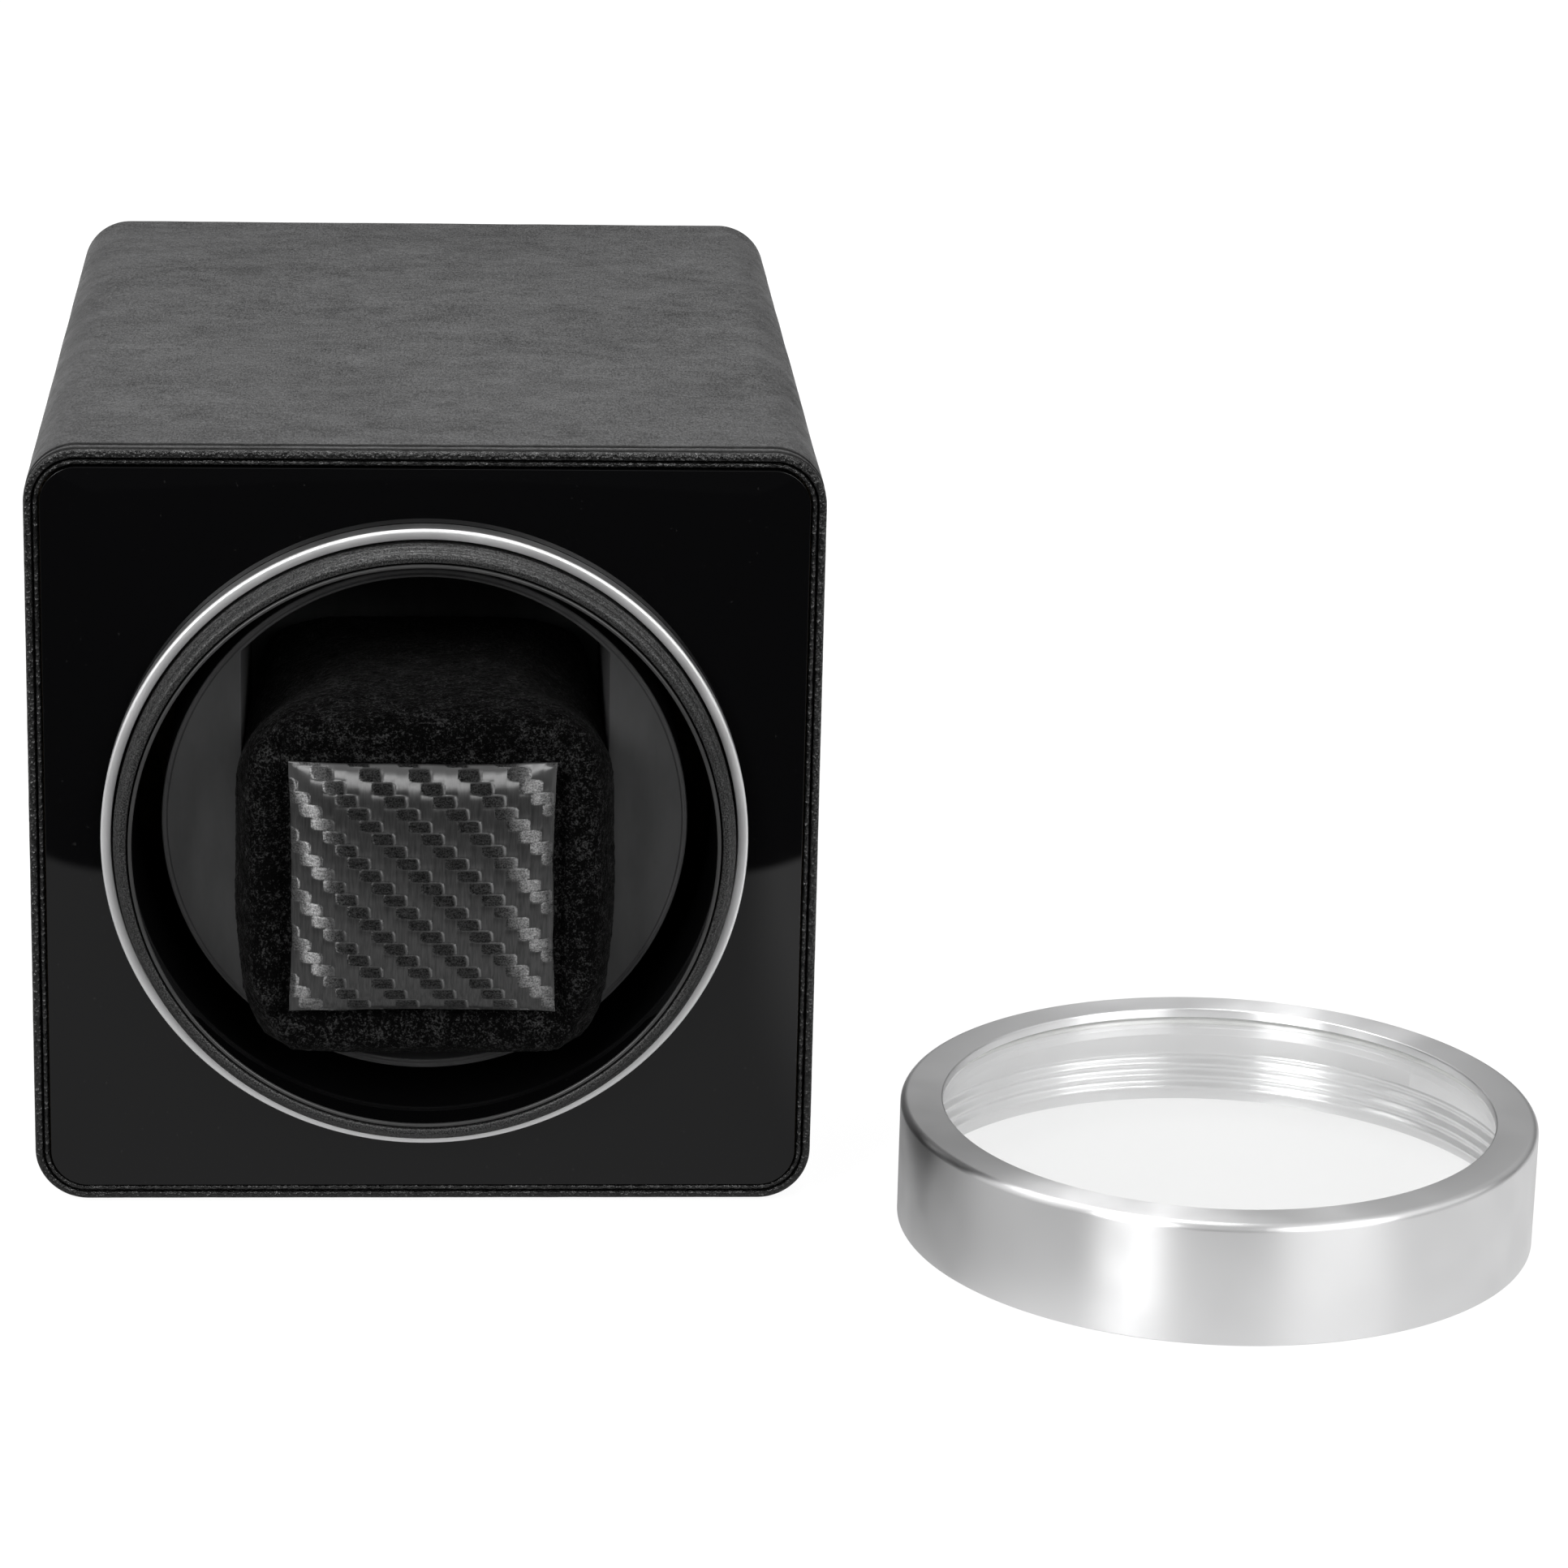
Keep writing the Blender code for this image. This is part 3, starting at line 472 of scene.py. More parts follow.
def twill_material():
    """Embossed two-by-two twill of pearly fibres, with painted highlights: lighter bands near the pad's top
    and sides, and lighter rims on the level floats.
    """
    s = Surface("twill_leather", (0.2, 0.2, 0.2), 0.42, 0.8, Anisotropic=0.975)
    over = s.add("ShaderNodeAttribute", attribute_name="upright").outputs["Fac"]
    rim = s.add("ShaderNodeAttribute", attribute_name="rim").outputs["Fac"]
    band_highlight = s.add("ShaderNodeAttribute", attribute_name="band_highlight").outputs["Fac"]
    under = s.math("SUBTRACT", 1.0, over)
    level_fibre = s.noise(0.30, 2.0, 0.6, s.stretched((0.3, 0.5, 1.0)))
    upright_fibre = s.noise(0.30, 2.0, 0.6, s.stretched((1.0, 0.5, 0.10)))
    speckle = s.noise(0.24, 3.0, 0.7)
    broken = s.math("ADD", s.math("MULTIPLY", level_fibre, 0.3), s.math("MULTIPLY", speckle, 0.7))
    height = s.math("ADD", s.math("MULTIPLY", upright_fibre, over), s.math("MULTIPLY", broken, under))
    upright_out_of_band = s.blend(s.spread(upright_fibre, 0.3, 0.7, 0.0, 1.0), (0.055, 0.055, 0.055),
                            (0.095, 0.095, 0.095))
    # painted highlight: upright tows are lighter in the band along the top of the pad
    upright_color = s.blend(band_highlight, upright_out_of_band, (0.14, 0.14, 0.14))
    share = s.spread(broken, 0.40, 0.68, 0.0, 1.0)
    level_out_of_band = s.blend(share, (0.012, 0.012, 0.012), (0.11, 0.11, 0.11))
    # painted highlight: lighter rims on the level floats
    level_out_of_band = s.blend(rim, level_out_of_band, (0.17, 0.17, 0.17))
    # painted highlight: level tows are much lighter in the bands near the pad's sides
    level_in_band_highlight = s.blend(share, (0.09, 0.09, 0.09), (0.42, 0.42, 0.42))
    level_color = s.blend(band_highlight, level_out_of_band, level_in_band_highlight)
    metal = s.spread(over, 0.0, 1.0, 0.96, 0.70)
    across = s.add("ShaderNodeCombineXYZ", {"X": over, "Z": under})
    turned = s.add("ShaderNodeVectorTransform", {0: across.outputs[0]}, vector_type="VECTOR",
                   convert_from="OBJECT", convert_to="WORLD")
    s.put(s.shader, "Tangent", turned.outputs[0])
    rough = s.spread(speckle, 0.3, 0.7, 0.38, 0.46)
    return s.use(Normal=s.bump(height, 0.018, 0.8), Base_Color=s.blend(over, level_color, upright_color),
                 Roughness=rough, Metallic=metal)


def glass_material():
    """Clear glass that also lets lamp light straight through."""
    s = Surface("clear_glass", (0.998, 1.0, 0.999), 0.0, IOR=1.5, Transmission_Weight=1.0)
    path = s.add("ShaderNodeLightPath")
    clear = s.add("ShaderNodeBsdfTransparent", {"Color": (0.97, 0.975, 0.972, 1.0)})
    share = s.math("MAXIMUM", path.outputs["Is Shadow Ray"], path.outputs["Is Diffuse Ray"])
    both = s.add("ShaderNodeMixShader", {0: share, 1: s.shader.outputs[0], 2: clear.outputs[0]})
    s.put(s.output, "Surface", both.outputs[0])
    return s.material


def fibreboard_material():
    """Pressed brown board, as its cut edges show."""
    s = Surface("fibreboard", (0.16, 0.12, 0.08), 0.85)
    fibre = s.noise(0.8, 4.0, 0.7, s.stretched((1.0, 0.3, 1.0)))
    color = s.blend(s.spread(fibre, 0.3, 0.7, 0.0, 1.0), (0.11, 0.08, 0.05), (0.21, 0.16, 0.11))
    return s.use(Base_Color=color, Normal=s.bump(fibre, 0.08))


def rubber_material():
    """Dull black rubber."""
    s = Surface("soft_rubber", (0.02, 0.02, 0.02), 0.75)
    fine = s.noise(0.3, 3.0, 0.6)
    return s.use(Normal=s.bump(fine, 0.05, 0.7), Roughness=s.spread(fine, 0.3, 0.7, 0.65, 0.85))


def silicone_material():
    """Milky silicone of the window's seal."""
    s = Surface("clear_silicone", (0.62, 0.62, 0.61), 0.35, IOR=1.41)
    cloud = s.noise(2.0, 2.0, 0.5)
    return s.use(Roughness=s.spread(cloud, 0.3, 0.7, 0.30, 0.42), Normal=s.bump(cloud, 0.02, 0.5))


def circuit_material():
    """Green board with paler tracks."""
    s = Surface("circuit_board", (0.015, 0.11, 0.05), 0.4)
    tracks = s.cells(2.2, "DISTANCE_TO_EDGE")
    line = s.spread(tracks, 0.05, 0.09, 1.0, 0.0)
    color = s.blend(line, (0.012, 0.09, 0.04), (0.03, 0.20, 0.09))
    return s.use(Base_Color=color, Normal=s.bump(line, 0.03))


# ---------------------------------------------------------------- case
def make_leather_wrap(material, edge_material):
    """Bonded cover with two stitched creases behind its front edge and faint waves along its sides."""
    corner_steps, side_steps = 40, 185
    row_step = 0.09
    turn_in = 4.1
    nose = [(LEATHER, FRONT_Y + 0.9), (LEATHER, FRONT_Y + 0.2), (1.14, FRONT_Y + 0.06)]
    nose += [(1.02, FRONT_Y), (0.88, FRONT_Y), (0.74, FRONT_Y)]
    nose += arc((0.6, FRONT_Y + 0.6), 0.6, -90, -180, 8)
    fine = np.arange(FRONT_Y + 0.72, FRONT_Y + 5.2, row_step)
    long = np.linspace(FRONT_Y + 5.4, REAR_Y - 0.7, 44)
    rear = arc((0.6, REAR_Y - 0.6), 0.6, 180, 90, 5)
    rear += [(turn_in, REAR_Y), *arc((turn_in, REAR_Y - 0.3), 0.3, 90, -90, 5)]
    rear += [(LEATHER + 0.2, REAR_Y - 0.6), (LEATHER, REAR_Y - 0.9)]
    profile = nose + [(0.0, y) for y in (*fine, *long)] + rear
    travel = outline_travel(corner_steps, side_steps)
    shape = (len(profile), len(travel))
    inset = np.repeat(np.array(profile)[:, :1], shape[1], axis=1)
    along = np.repeat(np.array(profile)[:, 1:], shape[1], axis=1)
    skin = (inset < 0.5) & (along < REAR_Y - 0.3)
    round_points = np.stack([travel, travel * 0, travel * 0], axis=-1)
    crease_shade = np.zeros(shape)
    for number, distance in enumerate(CREASES):
        wander = 0.10 * noise(round_points, 5.0, 11 + number) + 0.07 * noise(round_points, 1.3, 21 + number)
        stitch = 0.5 + 0.5 * np.cos(2 * math.pi * travel / CREASE_PITCH)
        depth = 0.36 + 0.08 * stitch + 0.05 * noise(round_points, 3.0, 31 + number)
        behind = along - (FRONT_Y + distance + wander + 0.06 * stitch)
        fold = np.where(behind > 0, np.exp(-(behind / 0.12) ** 2), np.exp(behind / 0.60))
        inset += skin * depth * fold
        # mask of the painted shade that the leather material puts into the creases
        crease_shade = np.maximum(crease_shade, np.exp(-(behind / 0.40) ** 2))
    points = case_points(inset, along, corner_steps, side_steps)
    waves = 0.05 * noise(points, 14.0, 1) + 0.03 * noise(points, 5.0, 2)
    inset -= skin * (along > FRONT_Y + 5.2) * waves
    obj = grid_object("leather_cover", case_points(inset, along, corner_steps, side_steps), sharp=60)
    add_values(obj, "crease_shade", crease_shade)
    dress(obj, material, "case", "leather", "leather_wrap")
    front_material(obj, edge_material, FRONT_Y + 0.75)


def make_welt(material):
    """Piping between the leather and the panel."""
    low, high = box_mm("front_welt")
    corner_steps, side_steps = 60, 400
    middle = (WELT_OUTER + WELT_INNER) / 2
    half = (WELT_INNER - WELT_OUTER) / 2
    profile = [(WELT_INNER, high[1]), (WELT_OUTER, high[1]), (WELT_OUTER, low[1] + 0.5)]
    profile += [(middle - half * math.cos(a), low[1] + 0.3 - 0.3 * math.sin(a))
                for a in np.linspace(0, math.pi, 9)]
    profile += [(WELT_INNER, low[1] + 0.5)]
    profile = np.array(profile)
    cols = 4 * (corner_steps + side_steps)
    inset = np.repeat(profile[:, :1], cols, axis=1)
    along = np.repeat(profile[:, 1:], cols, axis=1)
    points = case_points(inset, along, corner_steps, side_steps)
    bead = along < low[1] + 0.4
    points[..., 1] += bead * (0.06 * noise(points, 0.42, 5) + 0.03 * noise(points, 0.8, 6))
    obj = grid_object("leather_welt", points, sharp=60)
    dress(obj, material, "case", "leather", "front_welt")


def make_panel(material):
    """Lacquered front panel with a fine rounded edge, bridged to its round hole."""
    corner_steps, side_steps = 30, 60
    front, back = PANEL_LOW[1], PANEL_HIGH[1]
    edge, normals = rounded_outline(HALF_W - PANEL_INSET, HALF_H - PANEL_INSET, CORNER - PANEL_INSET,
                                    corner_steps, side_steps)
    hole = edge / np.linalg.norm(edge, axis=1, keepdims=True)
    rows = [(hole * PANEL_HOLE, back), (hole * PANEL_HOLE, front + 0.15)]
    rows.append((hole * (PANEL_HOLE + 0.15), front))
    for inset, y in arc((0.06, 0.06), 0.06, 270, 180, 3):
        rows.append((edge - normals * inset, front + y))
    rows.append((edge, back))
    points = np.array([np.stack([flat[:, 0], np.full(len(flat), y), flat[:, 1] + MID_Z], axis=-1)
                       for flat, y in rows])
    obj = grid_object("lacquer_panel", points)
    dress(obj, material, "case", "gloss_panel", "front_panel")


def make_flange(wall_material, front_metal):
    """Bright ring round the opening: a smooth wall behind a satin face."""
    front, back = FLANGE_LOW[1], FLANGE_HIGH[1]
    outer = (FLANGE_HIGH[0] - FLANGE_LOW[0]) / 2
    inner = 46.6
    profile = [(inner, back), (outer, back), (outer, front + 0.55)]
    profile += arc((outer - 0.45, front + 0.45), 0.45, 0, -90, 6)
    profile += [(inner + 0.12, front), (inner, front + 0.12)]
    obj = ring("bezel_flange", profile, (0, MID_Z), segments=420, sharp=50)
    dress(obj, wall_material, "case", "bright_metal", "ring_flange")
    front_material(obj, front_metal, front + 0.5)


def make_collar(material):
    """Threaded mouth of the drum housing, with a true helical thread."""
    front, back = COLLAR_LOW[1], COLLAR_HIGH[1]
    crest, root, inner = 46.2, 45.6, 44.2
    start, end = front + 0.55, front + 4.4
    profile = [(inner, back), (inner, front + 0.15), (inner + 0.15, front), (inner + 0.85, front),
               (inner + 0.98, front + 0.08), (root - 0.02, front + 0.5)]
    profile += [(root, y) for y in np.arange(start, end, THREAD_PITCH / 14)]
    profile += [(crest, end + 0.2), (crest, back - 2.0)]
    profile += [(COLLAR_HIGH[0], back - 2.0), (COLLAR_HIGH[0], back)]

    def thread(radius, along, angle):
        turns = (along - start) / THREAD_PITCH - angle / (2 * math.pi)
        inside = (along >= start) & (along < end) & (radius == root)
        fade = np.clip((along - start) / 0.6, 0, 1)
        return radius + inside * fade * thread_form(turns) * (crest - root)

    obj = ring("drum_collar", profile, (0, MID_Z), segments=420, thread=thread, sharp=75)
    dress(obj, material, "case", "black_thread", "threaded_collar")


def make_liner(material, lip_material):
    """Glossy tube round the drum, with a duller rounded lip."""
    front, back = LINER_LOW[1], LINER_HIGH[1]
    outer = (LINER_HIGH[0] - LINER_LOW[0]) / 2
    inner = outer - 0.6
    lip = arc(((outer + inner) / 2, front + 0.3), 0.3, 180, 360, 8)
    profile = [(inner, back), (inner, (front + back) / 2), *lip, (outer, back)]
    obj = ring("gloss_liner_tube", profile, (0, MID_Z), sharp=50)
    dress(obj, material, "case", "gloss_liner", "liner_tube")
    front_material(obj, lip_material, front + 0.45)


# ---------------------------------------------------------------- drum and cushion
def circle_segment(radius, half, shift, steps):
    """The part of a disc where |x| < half, as an outline of two arcs."""
    limit = math.degrees(math.acos(half / radius))
    return np.array(arc((0, shift), radius, limit, 180 - limit, steps)
                    + arc((0, shift), radius, 180 + limit, 360 - limit, steps))


def prism(name, outline, y_front, y_back):
    """Solid with the same (x, z) outline from front to back."""
    rows = [np.stack([outline[:, 0], np.full(len(outline), y), outline[:, 1]], axis=-1)
            for y in (y_front, y_back)]
    return grid_object(name, np.array(rows), wrap_rows=False, caps=True)


def make_drum(material):
    """Turned barrel with the cushion's channel cut into its front and a hollow in each cheek."""
    front, back = DRUM_LOW[1], DRUM_HIGH[1]
    radius = (DRUM_HIGH[0] - DRUM_LOW[0]) / 2
    profile = [(radius - 0.90, front), (radius - 0.62, front + 0.28), (radius - 0.34, front),
               (radius - 0.14, front), (radius, front + 0.14), (radius, back)]
    obj = disc("winder_drum", profile, (0, MID_Z))
    wall, half, floor = 1.3, 27.45, -27.0
    channel = circle_segment(radius - wall, half, MID_Z, 60)
    cut(obj, prism("channel", channel, front - 5, floor))
    pocket_half = math.degrees(math.acos((half + 1.9) / (radius - wall)))
    for turn in (0, 180):
        pocket = np.array(arc((0, MID_Z), radius - wall, turn - pocket_half, turn + pocket_half, 40))
        cut(obj, prism("pocket", pocket, front + 2.0, back + 2))
    bevel_edges(obj, 0.22)
    dress(obj, material, "drum", "matte_black", "drum_barrel")


def cushion_limits(points):
    """Keeps the pile inside the channel, with a little more room in front of the drum."""
    front = DRUM_LOW[1]
    ahead = eased(np.clip((front + 0.6 - points[:, 1]) / 5.0, 0, 1))
    side = 27.25 + 1.5 * ahead
    points[:, 0] = np.clip(points[:, 0], -side, side)
    points[:, 1] = np.clip(points[:, 1], CUSHION_LOW[1] - 1.2, CUSHION_HIGH[1])
    points[:, 2] = np.clip(points[:, 2], CUSHION_LOW[2], CUSHION_HIGH[2] + 0.5)
    return points


def make_cushion(material):
    """Foam pillow under velvet: blown up as cloth, then pulled in along the patch's seam and mitres."""
    low, high = CUSHION_LOW, CUSHION_HIGH
    middle = (low + high) / 2
    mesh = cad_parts["watch_cushion"].data.copy()
    mesh.name = "velvet_cushion"
    obj = bpy.data.objects.new("velvet_cushion", mesh)
    bpy.context.scene.collection.objects.link(obj)
    room_to_swell = 2.4
    shrunk = 1 - room_to_swell / (high - low)
    place_points(obj, middle + (mesh_points(obj) - middle) * shrunk)
    remesh = obj.modifiers.new("remesh", "REMESH")
    remesh.mode = "VOXEL"
    remesh.voxel_size = 4.0 * MM
    apply_modifiers(obj)
    before = mesh_points(obj)
    inflate(obj, pressure=4.0, frames=20)
    move = mesh_points(obj) - before
    length = np.linalg.norm(move, axis=1, keepdims=True)
    longest = 1.9
    place_points(obj, before + move * np.minimum(1, longest / np.maximum(length, 1e-9)))
    for _ in range(3):
        divide = obj.modifiers.new("subdivision", "SUBSURF")
        divide.levels = divide.render_levels = 1
        apply_modifiers(obj)
    shape_velvet(obj)
    obj.data.polygons.foreach_set("use_smooth", [True] * len(obj.data.polygons))
    dress(obj, material, "cushion", "velvet", "watch_cushion")


def inflate(obj, pressure, frames):
    """Blows the mesh up as cloth in free space and keeps the result."""
    scene = bpy.context.scene
    scene.frame_start = 1
    scene.frame_end = frames
    cloth = obj.modifiers.new("cloth", "CLOTH")
    cloth.settings.quality = 6
    cloth.settings.mass = 0.2
    cloth.settings.tension_stiffness = 12
    cloth.settings.compression_stiffness = 12
    cloth.settings.bending_stiffness = 0.6
    cloth.settings.use_pressure = True
    cloth.settings.uniform_pressure_force = pressure
    cloth.settings.effector_weights.gravity = 0
    cloth.point_cache.frame_start = 1
    cloth.point_cache.frame_end = frames
    for number in range(1, frames + 1):
        scene.frame_set(number)
    apply_modifiers(obj)
    scene.frame_set(1)


def shape_velvet(obj):
    """Sinks the patch's seam and the mitred folds into the front, and raises the pile."""
    points = mesh_points(obj)
    centre = (PATCH_LOW + PATCH_HIGH) / 2
    half_x = (PATCH_HIGH[0] - PATCH_LOW[0]) / 2
    half_z = (PATCH_HIGH[2] - PATCH_LOW[2]) / 2
    dx = np.abs(points[:, 0] - centre[0]) - half_x
    dz = np.abs(points[:, 2] - centre[2]) - half_z
    outside = np.maximum(dx, dz)
    facing = np.clip((DRUM_LOW[1] - 8 - points[:, 1]) / 5, 0, 1)
    seam = 1.7 * np.exp(-np.abs(outside) / 1.6)
    under_patch = 1.9 * np.clip(-outside / 2.0, 0, 1)
    swell = 0.9 * np.exp(-((outside - 5.2) / 3.0) ** 2)
    mitre = 0.95 * np.exp(-((dx - dz) / 1.0) ** 2) * np.clip(outside / 0.8, 0, 1) * np.exp(-outside / 5.5)
    points[:, 1] += facing * (np.maximum(seam, under_patch) + mitre - swell)
    hang = np.clip((-np.abs(points[:, 0]) + 30.0) / 10.0, 0, 1)
    low_corner = (1 - hang) * np.clip((MID_Z - 20.0 - points[:, 2]) / 10.0, 0, 1) * facing
    points[:, 0] -= 3.4 * low_corner * np.sign(points[:, 0])
    points[:, 2] += 3.4 * low_corner
    points = cushion_limits(points)
    normals = np.array([v.normal for v in obj.data.vertices])
    pile = 0.11 * noise(points, 0.9, 41) + 0.07 * noise(points, 0.5, 42) + 0.12 * noise(points, 6.0, 43)
    place_points(obj, points + normals * pile[:, None])


def weave(x, z):
    """Height, upright share and painted rim highlight of the weave at points of the patch; x and z are from
    its middle.
    """
    column = (x + 0.17 * TOW_X) / TOW_X
    row = z / TOW_Z
    phase = np.mod(np.floor(column) + np.floor(row), 4)
    in_column = column - np.floor(column)
    in_row = row - np.floor(row)
    level_run = phase + in_column - 1
    level_across = 2 * in_row - 1
    lean = level_run + 0.10 * level_across
    oval = np.abs(lean / 1.04) ** 3.4 + np.abs(level_across / 1.04) ** 4.0
    level = (phase < 2) & (oval < 1)
    upright_run = np.where(phase < 2, 1.0, phase - 3 + in_row)
    upright_across = 2 * in_column - 1
    height = np.where(level, 0.15 * (1 - np.minimum(oval, 1) ** 4),
                      0.10 * (1 - np.abs(upright_run) ** 4) + 0.05 * (1 - np.abs(upright_across) ** 4))
    # painted highlight: a lighter rim along the right end and top edge of each level float
    rim = level * np.clip(np.maximum((lean - 0.66) / 0.2, 0.6 * (level_across - 0.70) / 0.2), 0, 1)
    return height, 1.0 - level, rim


def make_patch(material):
    """Pillowed patch whose twill tows are raised one by one, with edges pulled in between its corners."""
    centre = (PATCH_LOW + PATCH_HIGH) / 2
    half_x = (PATCH_HIGH[0] - PATCH_LOW[0]) / 2 - 0.45
    half_z = (PATCH_HIGH[2] - PATCH_LOW[2]) / 2 - 0.40
    back = PATCH_HIGH[1]
    step = 0.15
    xs = np.linspace(-half_x, half_x, int(2 * half_x / step))
    zs = np.linspace(-half_z, half_z, int(2 * half_z / step))
    x, z = np.meshgrid(xs, zs)
    edge_x = half_x - np.abs(x)
    edge_z = half_z - np.abs(z)
    pillow = 3.1 * (1 - np.exp(-edge_x / 4.6)) * (1 - np.exp(-edge_z / 3.2))
    height, upright, rim = weave(x, z)
    fade = np.clip(np.minimum(edge_x, edge_z) / 0.8, 0, 1)
    draw_x = 0.45 * np.sign(x) * (1 - (z / half_z) ** 2) * (np.abs(x) / half_x) ** 4
    draw_z = 0.35 * np.sign(z) * (1 - (x / half_x) ** 2) * (np.abs(z) / half_z) ** 4
    wobble = 0.12 * noise(np.stack([x, x * 0, z], axis=-1), 4.0, 51) * (1 - fade)
    front = np.stack([centre[0] + x - draw_x + wobble, back - pillow - height * fade,
                      centre[2] + z - draw_z + wobble], axis=-1)
    rows, cols = x.shape
    verts = front.reshape(-1, 3)
    faces = grid_faces(rows, cols, False, False).tolist()
    rim_cells = ([(0, c) for c in range(cols)] + [(r, cols - 1) for r in range(1, rows)]
                 + [(rows - 1, c) for c in range(cols - 2, -1, -1)]
                 + [(r, 0) for r in range(rows - 2, 0, -1)])
    border = [r * cols + c for r, c in rim_cells]
    skirt = verts[border] + np.array([0, 0.35, 0])
    first = len(verts)
    count = len(border)
    for i in range(count):
        j = (i + 1) % count
        faces.append([border[i], border[j], first + j, first + i])
    faces.append([first + i for i in range(count)])
    obj = make_object("twill_patch", np.concatenate([verts, skirt]), faces, sharp=80)
    add_values(obj, "upright", np.concatenate([upright.ravel(), np.ones(count)]))
    # mask of the painted rim highlight
    add_values(obj, "rim", np.concatenate([rim.ravel(), np.zeros(count)]))
    # masks of the painted highlight bands: top rows of upright tows, and level tows about 3.4 mm in from
    # each side
    top_band_highlight = np.exp(-((half_z - z) / 3.6) ** 2)
    side_band_highlight = np.exp(-((edge_x - 3.4) / 2.8) ** 2)
    band_highlight = np.where(upright > 0.5, top_band_highlight, side_band_highlight)
    add_values(obj, "band_highlight", np.concatenate([band_highlight.ravel(), np.zeros(count)]))
    dress(obj, material, "cushion", "patch_leather", "cushion_patch")


# ---------------------------------------------------------------- cap
def make_cap(metal, glass, seal_material):
    """Window cap: a ring with an inner thread, its pane and the pane's seal."""
    centre = (CAP_CENTRE[0], CAP_CENTRE[1])
    outer = (CAP_HIGH[0] - CAP_LOW[0]) / 2
    top = CAP_HIGH[2]
    window, bore, crest, root = 41.8, 45.6, 45.9, 46.6
    ledge, bore_low, thread_top, thread_low = 17.4, 8.9, 8.6, 1.9
    profile = [(root + 0.2, 0.3), (outer - 0.45, 0.0)]
    profile += arc((outer - 0.3, 0.3), 0.3, -90, 0, 4)
    profile += arc((outer - 1.2, top - 1.2), 1.2, 0, 90, 14)
    profile += arc((window + 0.3, top - 0.3), 0.3, 90, 180, 5)
    profile += [(window, ledge), (bore, ledge), (bore, bore_low)]
    profile += [(crest, z) for z in np.arange(thread_top, thread_low, -THREAD_PITCH / 16)]
    profile += [(root + 0.2, 1.3)]

    def thread(radius, along, angle):
        turns = along / THREAD_PITCH - angle / (2 * math.pi)
        return radius + (radius == crest) * thread_form(turns) * (root - crest)

    rim = ring("bezel_cap", profile, centre, "Z", 480, thread, sharp=60)
    dress(rim, metal, "cap", "bright_metal", "cap_ring")
    radius = (GLASS_HIGH[0] - GLASS_LOW[0]) / 2
    low, high = GLASS_LOW[2], GLASS_HIGH[2]
    pane = disc("window_glass", [(radius - 0.3, low), (radius, low + 0.3), (radius, high - 0.3),
                                 (radius - 0.3, high)], centre, "Z")
    dress(pane, glass, "cap", "window", "cap_glass")
    low, high = box_mm("glass_gasket")
    outer = (high[0] - low[0]) / 2
    middle = (low[2] + high[2]) / 2
    half = (high[2] - low[2]) / 2
    profile = (arc((outer - half, middle), half, -90, 90, 8)
               + arc((outer - 1.95 + half, middle), half, 90, 270, 8))
    seal = ring("glass_seal", profile, centre, "Z", 192)
    dress(seal, seal_material, "cap", "rubber", "glass_gasket")


# ---------------------------------------------------------------- camera, floor and light
def make_camera():
    """The photograph's viewpoint: a long lens in front of the box, looking down on it."""
    data = bpy.data.cameras.new("camera")
    data.sensor_width = 36.0
    data.lens = 125.33
    data.shift_x = 0.06
    data.clip_start = 0.05
    data.clip_end = 20.0
    down, right, roll = (math.radians(a) for a in (17.855, 3.057, 1.098))
    ahead = np.array([math.sin(right) * math.cos(down), math.cos(right) * math.cos(down), -math.sin(down)])
    level = np.array([math.cos(right), -math.sin(right), 0.0])
    above = np.cross(level, ahead)
    side = level * math.cos(roll) + above * math.sin(roll)
    up = above * math.cos(roll) - level * math.sin(roll)
    camera = bpy.data.objects.new("camera", data)
    rotation = Matrix([side, up, -ahead]).transposed().to_4x4()
    place = (-0.00192, -0.8552, 0.31738)
    camera.matrix_world = Matrix.Translation(place) @ rotation
    bpy.context.scene.collection.objects.link(camera)
    bpy.context.scene.camera = camera


